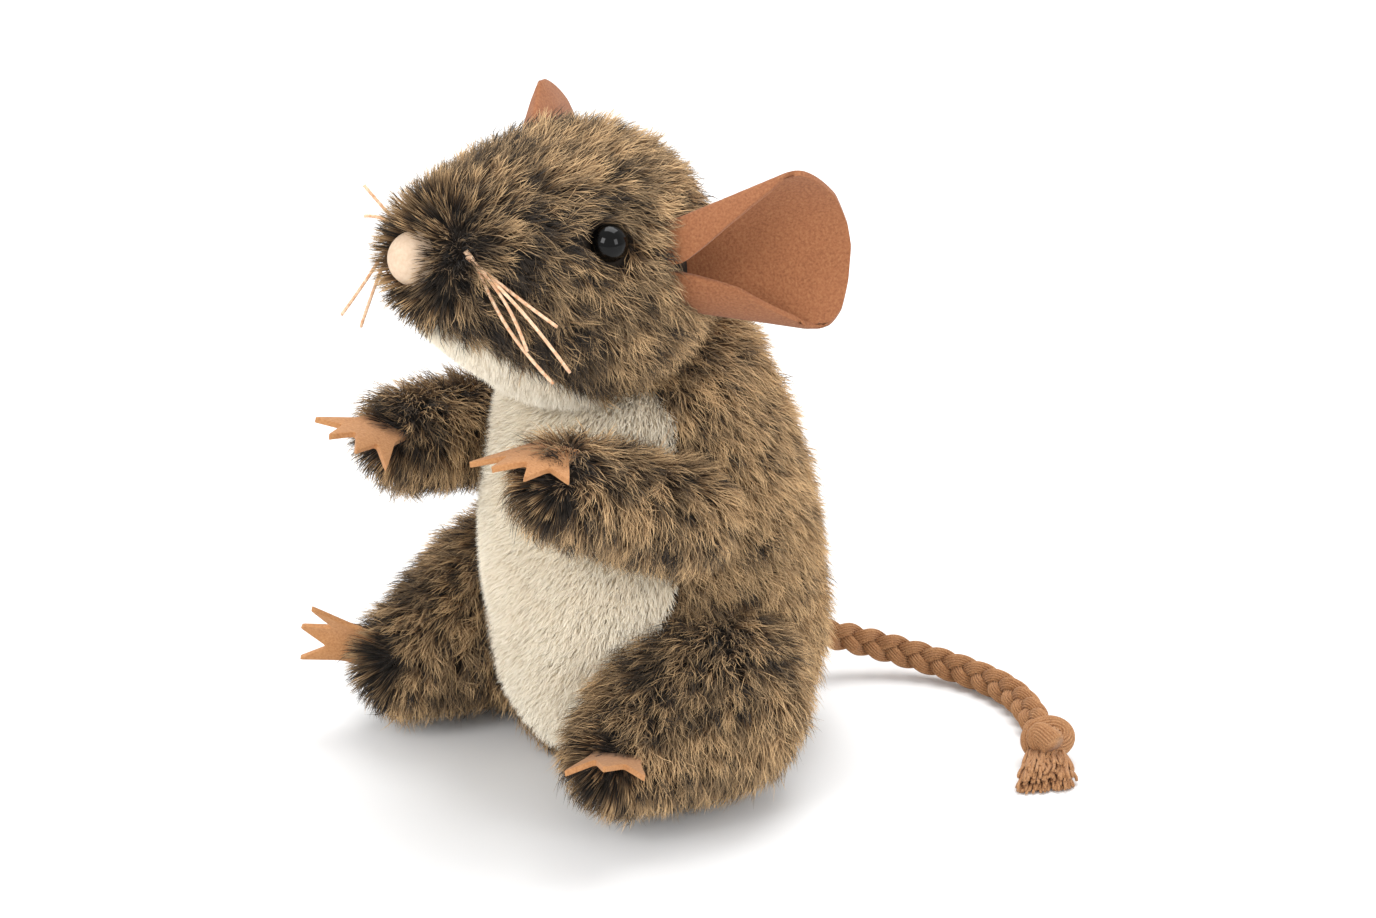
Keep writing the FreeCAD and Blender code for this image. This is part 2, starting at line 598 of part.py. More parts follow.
# --- the whole mouse ------------------------------------------------------------------------------
def main():
    os.makedirs("parts", exist_ok=True)
    neck = joint_hardware(neck_point(), neck_direction(), NECK_DISC_RADIUS)
    faces = {}
    for side in ("left", "right"):
        faces["arm_" + side] = (shoulder_face(side), shoulder_direction(side))
        faces["leg_" + side] = (hip_face(side), hip_direction(side))
    disc_radius = {"arm": SHOULDER_DISC_RADIUS, "leg": HIP_DISC_RADIUS}
    hardware = {name: joint_hardware(point, direction, disc_radius[name[:3]])
                for name, (point, direction) in faces.items()}

    sockets = [(neck_point(), neck_direction())] + list(faces.values())
    torso_back, belly_panel, torso_inside = build_torso(sockets)
    anchor = tail_anchor_solids()
    stuffing = torso_form(SKIN + SOFT_GAP)
    for pocket in limb_pockets(SKIN + SOFT_GAP):
        stuffing = stuffing.cut(pocket)
    for pieces in [neck] + list(hardware.values()):
        stuffing = stuffing.cut(pieces["torso_hollow"])
    stuffing = one_solid(stuffing.cut(pellet_bag(SOFT_GAP)).cut(anchor))
    export("torso_back", torso_back)
    export("belly_panel", belly_panel)
    export("torso_stuffing", stuffing)
    export("pellet_bag", pellet_bag(0))
    export("tail_anchor", anchor)
    joints = [neck] + list(hardware.values())
    export("torso_joint_discs", *[pieces["torso_disc"] for pieces in joints])
    export("torso_joint_washers", *[pieces["torso_washer"] for pieces in joints])

    build_head(neck)

    for side in ("left", "right"):
        hand = felt_piece(HANDS[side], HAND_OUTLINE, HAND_LENGTH, HAND_WIDTH)
        foot = felt_piece(FEET[side], FOOT_OUTLINE, FOOT_LENGTH, FOOT_WIDTH)
        export("hand_" + side, hand)
        export("foot_" + side, foot)
        point, direction = faces["arm_" + side]
        build_limb("arm_" + side, lambda inset: arm_form(side, inset), hand, point, direction,
                   hardware["arm_" + side])
        point, direction = faces["leg_" + side]
        build_limb("leg_" + side, lambda inset: leg_form(side, inset), foot, point, direction,
                   hardware["leg_" + side])

    cord = cord_solid()
    knot, tassel = tail_end(cord)
    export("tail_cord", cord)
    export("tail_knot", knot)
    export("tail_tassel", tassel)


def build_head(neck):
    eyes = {side: eye(side) for side in ("left", "right")}
    nose_piece = nose()
    ears = {side: ear(side) for side in ("left", "right")}
    whiskers = {side: [whisker(side, tip) for tip in WHISKER_TIPS] for side in ("left", "right")}
    skin = head_form(0).cut(head_form(SKIN)).cut(pin_hole(neck_point(), neck_direction(), 0))
    stuffing = head_form(SKIN + SOFT_GAP).cut(neck["limb_hollow"])
    trimmings = list(eyes.values()) + [nose_piece] + list(ears.values())
    for threads in whiskers.values():
        trimmings = trimmings + threads
    for piece in trimmings:
        skin = skin.cut(piece)
        stuffing = stuffing.cut(piece)
    eye_washers = []
    for side in ("left", "right"):
        place = mirrored(EYE_PLACE, side)
        inward = tuple(unit(facing_out(place)) * -1)
        eye_washers.append(shank_washer(place, inward, EYE_WASHER_DEPTH))
        stuffing = stuffing.cut(washer_hollow(place, inward, EYE_WASHER_DEPTH))
    inward = tuple(unit(snout_direction()) * -1)
    nose_washer = shank_washer(NOSE_PLACE, inward, NOSE_WASHER_DEPTH)
    stuffing = stuffing.cut(washer_hollow(NOSE_PLACE, inward, NOSE_WASHER_DEPTH))
    export("head_skin", one_solid(skin))
    export("head_stuffing", one_solid(stuffing))
    export("eye_left", eyes["left"].removeSplitter())
    export("eye_right", eyes["right"].removeSplitter())
    export("eye_washers", *eye_washers)
    export("nose", nose_piece.removeSplitter())
    export("nose_washer", nose_washer)
    export("ear_left", ears["left"])
    export("ear_right", ears["right"])
    export("whiskers_left", *whiskers["left"])
    export("whiskers_right", *whiskers["right"])
    export("neck_disc", neck["disc"])
    export("neck_washer", neck["washer"])
    export("neck_pin", neck["pin"])


main()
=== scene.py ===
"""Seated plush mouse: fur over stuffed forms, felt ears, hands and feet, and a plaited tail."""
import json
import math

import bpy
import numpy as np
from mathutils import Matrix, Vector, geometry, kdtree, noise


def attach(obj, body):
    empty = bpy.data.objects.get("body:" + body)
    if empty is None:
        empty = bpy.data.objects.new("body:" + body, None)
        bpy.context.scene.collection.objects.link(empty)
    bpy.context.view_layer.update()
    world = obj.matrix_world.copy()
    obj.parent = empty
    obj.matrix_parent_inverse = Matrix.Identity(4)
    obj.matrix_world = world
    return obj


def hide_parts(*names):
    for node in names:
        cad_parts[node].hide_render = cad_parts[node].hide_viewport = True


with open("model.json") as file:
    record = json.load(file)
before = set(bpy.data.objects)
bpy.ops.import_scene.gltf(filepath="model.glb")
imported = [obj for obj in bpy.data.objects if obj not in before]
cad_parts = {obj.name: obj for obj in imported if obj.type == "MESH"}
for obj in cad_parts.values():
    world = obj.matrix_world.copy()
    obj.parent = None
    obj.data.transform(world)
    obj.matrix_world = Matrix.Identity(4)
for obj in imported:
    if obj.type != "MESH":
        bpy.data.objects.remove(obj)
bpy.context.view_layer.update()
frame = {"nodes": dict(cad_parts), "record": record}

MM = 0.001


# ---- camera
AZIMUTH, ELEVATION = math.radians(50.0), math.radians(24.0)
TARGET = Vector((0.0, 0.0, 0.040))
DISTANCE = 0.700
SENSOR = 36.0
LENS = 111.0
SHIFT = (0.0247, 0.0367)
CLIP = (0.01, 10.0)


def put_in_scene(obj):
    bpy.context.scene.collection.objects.link(obj)
    return obj


def make_camera():
    back = Vector((math.sin(AZIMUTH) * math.cos(ELEVATION),
                   -math.cos(AZIMUTH) * math.cos(ELEVATION), math.sin(ELEVATION)))
    data = bpy.data.cameras.new("camera")
    data.sensor_width = SENSOR
    data.lens = LENS
    data.shift_x, data.shift_y = SHIFT
    data.clip_start, data.clip_end = CLIP
    camera = put_in_scene(bpy.data.objects.new("camera", data))
    camera.location = TARGET + back * DISTANCE
    camera.rotation_mode = "QUATERNION"
    camera.rotation_quaternion = (-back).to_track_quat("-Z", "Y")
    bpy.context.scene.camera = camera


make_camera()

# ---- tail route
TAIL_ROUTE = ((0.0005, 0.0272, 0.0096), (0.0028, 0.0344, 0.0083), (0.0078, 0.0414, 0.0058),
              (0.0146, 0.0474, 0.0037), (0.0228, 0.0510, 0.0028), (0.0316, 0.0518, 0.0027),
              (0.0400, 0.0493, 0.0027), (0.0472, 0.0446, 0.0027))


def spline_points(points, resolution=24):
    """Points along the smooth spline with these control points, in metres."""
    curve = bpy.data.curves.new("route", "CURVE")
    curve.dimensions = "3D"
    curve.resolution_u = resolution
    spline = curve.splines.new("NURBS")
    spline.points.add(len(points) - 1)
    for point, place in zip(spline.points, points):
        point.co = (*place, 1.0)
    spline.order_u = 3
    spline.use_endpoint_u = True
    holder = bpy.data.objects.new("route", curve)
    mesh = bpy.data.meshes.new_from_object(holder)
    places = np.array([v.co[:] for v in mesh.vertices])
    bpy.data.objects.remove(holder)
    bpy.data.meshes.remove(mesh)
    return places


def evenly(points, count):
    """The same line as count points at equal steps along it."""
    steps = np.linalg.norm(np.diff(points, axis=0), axis=1)
    walked = np.concatenate([[0.0], np.cumsum(steps)])
    wanted = np.linspace(0.0, walked[-1], count)
    return np.stack([np.interp(wanted, walked, points[:, k]) for k in range(3)], axis=1)


# ---- small numeric helpers
NOISE_STRIDE = (17.3, -9.1, 5.7)  # from one seed's part of the noise to the next one's


def unit(v):
    v = np.asarray(v, float)
    return v / np.maximum(np.linalg.norm(v, axis=-1, keepdims=True), 1e-12)


def smooth(low, high, x):
    t = np.clip((x - low) / (high - low), 0.0, 1.0)
    return t * t * (3.0 - 2.0 * t)


def flattened(directions, normals):
    """The directions with their part along the normals taken out, as unit vectors."""
    along = np.sum(directions * normals, axis=1, keepdims=True)
    return unit(directions - along * normals)


def frames_along(points):
    """Side and up at each point of a line, turned as little as possible along it."""
    tangents = unit(np.gradient(points, axis=0))
    side = np.cross(tangents[0], (0.0, 0.0, 1.0))
    sides = []
    for tangent in tangents:
        side = unit(side - tangent * np.dot(side, tangent))
        sides.append(side)
    sides = np.array(sides)
    return sides, np.cross(sides, tangents)


def noise_at(points, scale, seed):
    """Smooth noise between about -1 and 1 at points in mm, with features about scale mm wide."""
    offset = Vector([seed * stride for stride in NOISE_STRIDE])
    return np.array([noise.noise(Vector(p) / scale + offset) for p in points])


# ---- mesh helpers
def link(mesh, body, material):
    mesh.materials.append(material)
    mesh.shade_smooth()
    obj = put_in_scene(bpy.data.objects.new(mesh.name, mesh))
    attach(obj, body)
    return obj


def mesh_of(name, points_mm, faces):
    mesh = bpy.data.meshes.new(name)
    mesh.from_pydata([tuple(p) for p in np.asarray(points_mm) * MM], [], faces)
    mesh.validate()
    mesh.update()
    return mesh


def grid_faces(rows, columns, closed):
    """Quads of a grid of rows of points, each row a closed ring if closed."""
    faces = []
    last = columns if closed else columns - 1
    for i in range(rows - 1):
        for j in range(last):
            k = (j + 1) % columns
            faces.append((i * columns + j, i * columns + k,
                          (i + 1) * columns + k, (i + 1) * columns + j))
    return faces


def capped_faces(rows, columns):
    """Faces over rows of closed rings, with a face across each end."""
    faces = grid_faces(rows, columns, True)
    faces.append(tuple(range(columns))[::-1])
    faces.append(tuple(range((rows - 1) * columns, rows * columns)))
    return faces


def round_angles(count):
    return np.linspace(0.0, 2.0 * math.pi, count, endpoint=False)


def ring_round(centre, radii, angles, side, up):
    """One ring of points round a centre."""
    return centre + radii[:, None] * (np.cos(angles)[:, None] * side
                                      + np.sin(angles)[:, None] * up)


class Patchwork:
    """Collects points and faces of several parts that become one mesh."""

    def __init__(self):
        self.points = []
        self.faces = []
        self.count = 0

    def add(self, rings):
        self.points.append(rings.reshape(-1, 3))
        faces = capped_faces(*rings.shape[:2])
        self.faces += [tuple(i + self.count for i in face) for face in faces]
        self.count += rings.shape[0] * rings.shape[1]

    def tube(self, line, radius_at, around):
        """A tube along a line; radius_at(share along, angles) gives each ring's radii."""
        sides, ups = frames_along(line)
        angles = round_angles(around)
        last = len(line) - 1
        self.add(np.array([ring_round(centre, radius_at(i / last, angles), angles, sides[i], ups[i])
                           for i, centre in enumerate(line)]))

    def piece(self, name, body, material):
        return link(mesh_of(name, np.concatenate(self.points), self.faces), body, material)


# ---- materials
def srgb(red, green, blue):
    """Linear colour from 0 to 255 display values."""
    def linear(c):
        c /= 255.0
        return c / 12.92 if c <= 0.04045 else ((c + 0.055) / 1.055) ** 2.4
    return (linear(red), linear(green), linear(blue), 1.0)


class Nodes:
    """A material's node tree with short calls to make and join nodes."""

    def __init__(self, name, roughness, metallic=0.0, sheen=0.0):
        self.material = bpy.data.materials.new(name)
        self.material.use_nodes = True
        self.tree = self.material.node_tree
        self.shader = self.tree.nodes["Principled BSDF"]
        self.shader.inputs["Roughness"].default_value = roughness
        self.shader.inputs["Metallic"].default_value = metallic
        self.shader.inputs["Sheen Weight"].default_value = sheen

    def make(self, kind, **inputs):
        node = self.tree.nodes.new(kind)
        for name, value in inputs.items():
            node.inputs[name].default_value = value
        return node

    def join(self, output, target):
        self.tree.links.new(output, target)

    def place(self):
        return self.make("ShaderNodeTexCoord").outputs["Object"]

    def noise(self, scale, detail=3.0, place=None):
        node = self.make("ShaderNodeTexNoise", Scale=scale, Detail=detail)
        self.join(place or self.place(), node.inputs["Vector"])
        return node.outputs["Fac"]

    def ramp(self, value, stops):
        node = self.make("ShaderNodeValToRGB")
        while len(node.color_ramp.elements) < len(stops):
            node.color_ramp.elements.new(0.5)
        for element, (position, colour) in zip(node.color_ramp.elements, stops):
            element.position = position
            element.color = colour
        self.join(value, node.inputs["Fac"])
        return node.outputs["Color"]

    def mix(self, factor, first, second):
        node = self.make("ShaderNodeMix")
        node.data_type = "RGBA"
        self.join(factor, node.inputs["Factor"])
        self.join(first, node.inputs[6])
        self.join(second, node.inputs[7])
        return node.outputs[2]

    def scaled(self, value, factor):
        node = self.make("ShaderNodeMath")
        node.operation = "MULTIPLY"
        node.inputs[1].default_value = factor
        self.join(value, node.inputs[0])
        return node.outputs[0]

    def colour(self, output):
        self.join(output, self.shader.inputs["Base Color"])

    def bump(self, height, strength, distance):
        node = self.make("ShaderNodeBump", Strength=strength, Distance=distance)
        self.join(height, node.inputs["Height"])
        self.join(node.outputs["Normal"], self.shader.inputs["Normal"])


def fur_material(name, dark_stops, light_stops):
    """Colours from root to tip; the fibre's own tone picks between a dark and a light run."""
    nodes = Nodes(name, roughness=0.8, sheen=0.05)
    uv = nodes.make("ShaderNodeUVMap")
    uv.uv_map = "OFBake"
    parts = nodes.make("ShaderNodeSeparateXYZ")
    nodes.join(uv.outputs["UV"], parts.inputs["Vector"])
    tone, down = parts.outputs["X"], parts.outputs["Y"]
    nodes.colour(nodes.mix(tone, nodes.ramp(down, dark_stops), nodes.ramp(down, light_stops)))
    return nodes.material


def backing_material(name, low, high):
    """The woven backing that shows between fibres."""
    nodes = Nodes(name, roughness=0.95)
    value = nodes.noise(900.0)
    nodes.colour(nodes.ramp(value, ((0.3, low), (0.7, high))))
    nodes.bump(value, strength=0.4, distance=0.0003)
    return nodes.material


def fibre_material(name, colours, sheen, scales, stops, broad, share, relief):
    """Felt or soft yarn: fine fibre grain over a cloudy unevenness of dye."""
    nodes = Nodes(name, roughness=0.92, sheen=sheen)
    place = nodes.place()
    grain = nodes.noise(scales[0], 4.0, place)
    cloud = nodes.noise(scales[1], 2.0, place)
    fine = nodes.ramp(grain, tuple(zip(stops, colours)))
    nodes.colour(nodes.mix(nodes.scaled(cloud, share), fine, nodes.ramp(cloud, broad)))
    nodes.bump(grain, *relief)
    return nodes.material


def felt_material(name, low, middle, high):
    return fibre_material(name, (low, middle, high), 0.1, (2600.0, 140.0), (0.25, 0.5, 0.75),
                          ((0.3, low), (0.7, middle)), 0.45, (0.35, 0.00025))


def yarn_material(name, low, middle, high):
    return fibre_material(name, (low, middle, high), 0.12, (4200.0, 260.0), (0.25, 0.5, 0.8),
                          ((0.3, middle), (0.75, high)), 0.5, (0.5, 0.0003))


def plain_material(name, low, high, scale, roughness, metallic=0.0, bump=0.1, gloss=0.5):
    """A slightly uneven colour between low and high, in patches of the noise's scale."""
    nodes = Nodes(name, roughness=roughness, metallic=metallic)
    nodes.shader.inputs["Specular IOR Level"].default_value = gloss
    value = nodes.noise(scale)
    nodes.colour(nodes.ramp(value, ((0.3, low), (0.7, high))))
    nodes.bump(value, strength=bump, distance=0.0002)
    return nodes.material


BROWN_FUR = fur_material(
    "brown_fur",
    ((0.0, srgb(12, 9, 6)), (0.6, srgb(26, 20, 14)), (1.0, srgb(52, 39, 27))),
    ((0.0, srgb(26, 19, 13)), (0.4, srgb(128, 97, 63)), (1.0, srgb(250, 210, 156))))
WHITE_FUR = fur_material(
    "white_fur",
    ((0.0, srgb(242, 226, 200)), (1.0, srgb(253, 242, 222))),
    ((0.0, srgb(248, 235, 212)), (1.0, srgb(255, 250, 236))))
BROWN_BACKING = backing_material("brown_backing", srgb(24, 18, 12), srgb(42, 32, 22))
WHITE_BACKING = backing_material("white_backing", srgb(236, 226, 208), srgb(246, 238, 224))
EAR_FELT = felt_material("ear_felt", srgb(121, 71, 41), srgb(148, 93, 58), srgb(166, 114, 74))
LIGHT_FELT = felt_material("light_felt", srgb(158, 106, 64), srgb(181, 128, 80),
                           srgb(196, 146, 98))
COTTON = yarn_material("cotton_yarn", srgb(108, 67, 40), srgb(158, 111, 70), srgb(196, 150, 106))
THREAD = plain_material("whisker_thread", srgb(206, 150, 108), srgb(238, 208, 176), 1500.0, 0.8)
EYE_BLACK = plain_material("eye_black", srgb(2, 2, 2), srgb(5, 5, 5), 300.0, 0.05, bump=0.0,
                           gloss=0.2)
NOSE_PEACH = plain_material("nose_peach", srgb(206, 178, 150), srgb(218, 194, 168), 1800.0, 0.7)

SLOT_MATERIALS = {
    "fur_brown": BROWN_BACKING, "fur_white": WHITE_BACKING, "felt_light": LIGHT_FELT,
    "felt_ear": EAR_FELT, "eye_black": EYE_BLACK, "nose_peach": NOSE_PEACH, "thread": THREAD,
    "cord": COTTON,
    "stuffing": plain_material("stuffing", srgb(226, 222, 212), srgb(248, 246, 240), 700.0, 0.95),
    "pellets": plain_material("pellets", srgb(196, 190, 178), srgb(228, 222, 210), 500.0, 0.6),
    "steel": plain_material("steel", srgb(150, 150, 152), srgb(186, 186, 188), 600.0, 0.35, 1.0),
    "hardboard": plain_material("hardboard", srgb(104, 78, 54), srgb(140, 108, 76), 900.0, 0.75),
}


def dress_cad_nodes():
    """Each CAD node takes the procedural material of its record slot."""
    for part in frame["record"]["subparts"]:
        obj = frame["nodes"][part["node"]]
        obj.data.materials.clear()
        obj.data.materials.append(SLOT_MATERIALS[part["material_slot"]])


dress_cad_nodes()


# ---- forms under the fur, in mm
PILE_ROOM = 3.5  # from the pile's outer face down to the backing
BALL_ROWS = 22  # rings over each of a limb's round ends
LIMB_AROUND = 64  # points round a limb
TWO_TONE_AROUND = 240  # points round a form that is cut along a colour line


def arc_through(start, middle, end, count):
    """count points on the circle arc through three points of a plane."""
    (ax, ay), (bx, by), (cx, cy) = start, middle, end
    d = 2.0 * (ax * (by - cy) + bx * (cy - ay) + cx * (ay - by))
    a2, b2, c2 = ax * ax + ay * ay, bx * bx + by * by, cx * cx + cy * cy
    ux = (a2 * (by - cy) + b2 * (cy - ay) + c2 * (ay - by)) / d
    uy = (a2 * (cx - bx) + b2 * (ax - cx) + c2 * (bx - ax)) / d
    angles = np.unwrap([math.atan2(y - uy, x - ux) for x, y in (start, middle, end)])
    turn = np.linspace(angles[0], angles[2], count)
    radius = math.hypot(ax - ux, ay - uy)
    return [(ux + radius * math.cos(t), uy + radius * math.sin(t)) for t in turn]


def turned_rings(form, origin, profile, around):
    """A form's rings, from its (radius, distance along the axis) pairs."""
    angles = round_angles(around)
    rounds = np.cos(angles)[:, None] * form.side + np.sin(angles)[:, None] * form.up
    return np.array([origin + form.axis * distance + radius * rounds
                     for radius, distance in profile])


FAR_OUT = 99.0  # points past a form's ends are this far outside it


class Turned:
    """A round form: radii at distances along an axis."""

    def __init__(self, origin, axis, profile):
        self.origin = np.array(origin, float)
        self.axis = unit(axis)
        self.side = unit(np.cross(self.axis, (1.0, 0.0, 0.0)))
        self.up = np.cross(self.axis, self.side)
        points = np.array(profile, float)  # (radius, distance along the axis)
        slopes = unit(np.gradient(points, axis=0))
        outward = np.stack([slopes[:, 1], -slopes[:, 0]], axis=1)
        points = points - outward * PILE_ROOM
        points[:, 0] = np.maximum(points[:, 0], 0.0)
        self.profile = points

    def rings(self):
        return turned_rings(self, self.origin, self.profile, TWO_TONE_AROUND)

    def depth(self, points):
        """How far inside the form each point is, in mm: positive inside."""
        offset = points - self.origin
        distance = offset @ self.axis
        radius = np.linalg.norm(offset - distance[:, None] * self.axis, axis=1)
        order = np.argsort(self.profile[:, 1])
        allowed = np.interp(distance, self.profile[order, 1], self.profile[order, 0],
                            left=-FAR_OUT, right=-FAR_OUT)
        return allowed - radius


class Capsule:
    """A round-ended limb that tapers from one ball to another."""

    def __init__(self, start, end, start_radius, end_radius):
        self.start, self.end = np.array(start, float), np.array(end, float)
        self.radii = (start_radius - PILE_ROOM, end_radius - PILE_ROOM)
        self.length = float(np.linalg.norm(self.end - self.start))
        self.axis = unit(self.end - self.start)
        self.side = unit(np.cross(self.axis, (0.0, 0.0, 1.0)))
        self.up = np.cross(self.axis, self.side)

    def rings(self):
        tilt = math.asin((self.radii[0] - self.radii[1]) / self.length)
        rows = []
        for along, radius, first, last in ((0.0, self.radii[0], -math.pi / 2, tilt),
                                           (self.length, self.radii[1], tilt, math.pi / 2)):
            for angle in np.linspace(first, last, BALL_ROWS):
                rows.append((radius * math.cos(angle), along + radius * math.sin(angle)))
        before, after = rows[BALL_ROWS - 1], rows[BALL_ROWS]
        rows.insert(BALL_ROWS, ((before[0] + after[0]) / 2, (before[1] + after[1]) / 2))
        return turned_rings(self, self.start, rows, LIMB_AROUND)

    def depth(self, points):
        offset = points - self.start
        share = np.clip(offset @ self.axis / self.length, 0.0, 1.0)
        nearest = self.start + share[:, None] * (self.end - self.start)
        radius = self.radii[0] + share * (self.radii[1] - self.radii[0])
        return radius - np.linalg.norm(points - nearest, axis=1)


LEAN = math.radians(6.5)
TORSO_AXIS = (0.0, -math.sin(LEAN), math.cos(LEAN))
TORSO_PROFILE = (arc_through((16.0, -5.0), (26.6, 9.0), (28.8, 27.0), 30)
                 + arc_through((28.8, 27.0), (27.2, 50.0), (22.6, 66.0), 30)[1:]
                 + arc_through((22.6, 66.0), (19.4, 73.6), (12.0, 79.0), 16)[1:])
RAISE = math.radians(17.6)
HEAD_CENTRE = np.array((0.0, -16.4, 86.5))
HEAD_AXIS = np.array((0.0, -math.cos(RAISE), math.sin(RAISE)))
HEAD_UP = np.array((0.0, math.sin(RAISE), math.cos(RAISE)))
HEAD_RADIUS = 23.2
CROWN_FILL, CROWN_BLEND, CROWN_SLOPE = 1.2, 14.0, 0.3  # extra height, its blend and tilt
CROWN_FADE = (36.0, 30.0)  # it fades out between these distances ahead
JAW_HEIGHT, JAW_SLOPE, THROAT_BACK = -16.0, 0.25, -3.0  # the edge of the pale cloth
TEMPLE = math.radians(62.0)
HEAD_PROFILE = ([(HEAD_RADIUS * math.sin(t), -HEAD_RADIUS * math.cos(t))
                 for t in np.linspace(0.02, math.pi - TEMPLE, 60)]
                + arc_through((HEAD_RADIUS * math.sin(TEMPLE), HEAD_RADIUS * math.cos(TEMPLE)),
                              (16.2, 21.5), (11.2, 30.2), 26)[1:]
                + arc_through((11.2, 30.2), (7.6, 34.4), (0.3, 36.4), 14)[1:])


def on_head(points):
    """How far points lie ahead of and above the head's middle."""
    offset = points - HEAD_CENTRE
    return offset @ HEAD_AXIS, offset @ HEAD_UP


class SewnHead(Turned):
    """The sewn head is not quite round: it is a little fuller on top."""

    def rise(self, points):
        ahead, above = on_head(points)
        crown = smooth(0.0, CROWN_BLEND, above + CROWN_SLOPE * ahead) * smooth(*CROWN_FADE, ahead)
        return (CROWN_FILL * crown)[..., None] * HEAD_UP

    def rings(self):
        rings = super().rings()
        return rings + self.rise(rings)

    def depth(self, points):
        return super().depth(points - self.rise(points))


torso = Turned((0.0, 3.0, 0.0), TORSO_AXIS, TORSO_PROFILE)
head = SewnHead(HEAD_CENTRE, HEAD_AXIS, HEAD_PROFILE)
limbs = {
    "leg_left": Capsule((24.0, -9.0, 18.0), (26.0, -28.8, 14.2), 17.5, 10.3),
    "leg_right": Capsule((-24.0, -10.0, 18.0), (-26.5, -31.5, 12.4), 17.5, 10.3),
    "arm_left": Capsule((23.8, -14.8, 51.5), (22.6, -37.0, 62.2), 10.2, 9.6),
    "arm_right": Capsule((-23.8, -14.8, 51.5), (-22.6, -33.2, 55.0), 10.2, 9.6),
}
PANEL_FOOT = 5.5  # the pale front panel starts at this height
PANEL_Z = (0.0, 5.5, 13.0, 24.0, 36.0, 46.0, 55.0, 66.0, 69.0, 73.0, 90.0)
PANEL_X = (0.0, 3.0, 13.0, 18.5, 21.5, 21.4, 20.0, 17.4, 15.5, 10.0, 6.0)  # its half widths
FLOOR_CLEAR = 0.15  # fibres stay this far above the floor
BASE_FLOOR = 1.2  # and the backing this far


def on_panel(points):
    """True where a torso point is on the pale front panel."""
    half_width = np.interp(points[:, 2], PANEL_Z, PANEL_X)
    front = (points - torso.origin) @ np.array((0.0, math.cos(LEAN), math.sin(LEAN)))
    return (np.abs(points[:, 0]) < half_width) & (front < 0.0) & (points[:, 2] > PANEL_FOOT)


def on_throat(points):
    """True where a head point is on the pale cloth under the jaw."""
    ahead, above = on_head(points)
    return (above < JAW_HEIGHT + JAW_SLOPE * ahead) & (ahead > THROAT_BACK)


def form_mesh(name, rings, keep=None):
    """A smooth mesh of a form's rings, cut to the faces whose middles keep() accepts."""
    points = rings.reshape(-1, 3).copy()
    points[:, 2] = np.maximum(points[:, 2], BASE_FLOOR)
    faces = capped_faces(*rings.shape[:2])
    if keep is not None:
        middles = np.array([points[list(face)].mean(axis=0) for face in faces])
        faces = [face for face, wanted in zip(faces, keep(middles)) if wanted]
    used = sorted({i for face in faces for i in face})
    renumber = {old: new for new, old in enumerate(used)}
    return mesh_of(name, points[used], [tuple(renumber[i] for i in face) for face in faces])


# ---- fur
MAX_STRANDS = 39000  # on one piece
LIFT_SPREAD, TONE_SPREAD = 0.12, 0.10  # of one fibre from its clump
SHORTEST, LONGEST = -0.25, 0.12  # share of its length that a fibre has over
FLATTEST, STEEPEST = 0.05, 1.55  # a fibre's rise from the cloth, in radians
EVEN_ALONG = np.array((0.0, 1 / 3, 2 / 3, 1.0))  # a fibre's points, root to tip
PULL_ALONG = np.array((0.0, 0.25, 0.65, 1.0))  # how much a clump draws in each point
FUZZ_ALONG = np.array((0.0, 0.3, 0.7, 1.0))  # how much each point strays
ROLL = 1.1  # a ribbon's most turn about its line, in radians
THINNEST, THICKEST = 0.75, 1.25  # share of the width
TAPER = np.array((1.0, 0.95, 0.70))
RIBBON_POINTS, RIBBON_CORNERS = 7, 11
UV_LIMITS = (0.02, 0.98)


def scattered(mesh, count, rng):
    """count points spread evenly over a mesh, with the smooth normals there, in mm."""
    mesh.calc_loop_triangles()
    corners = np.array([t.vertices[:] for t in mesh.loop_triangles])
    points = np.array([v.co[:] for v in mesh.vertices]) / MM
    normals = np.array([v.normal[:] for v in mesh.vertices])
    a, b, c = (points[corners[:, k]] for k in range(3))
    areas = np.linalg.norm(np.cross(b - a, c - a), axis=1)
    chosen = rng.choice(len(corners), count, p=areas / areas.sum())
    u, v = rng.random(count), rng.random(count)
    over = u + v > 1.0
    u[over], v[over] = 1.0 - u[over], 1.0 - v[over]
    weights = np.stack([1.0 - u - v, u, v], axis=1)[:, :, None]
    places = (points[corners[chosen]] * weights).sum(axis=1)
    return places, unit((normals[corners[chosen]] * weights).sum(axis=1))


def surface_area(mesh):
    return sum(face.area for face in mesh.polygons) / MM ** 2


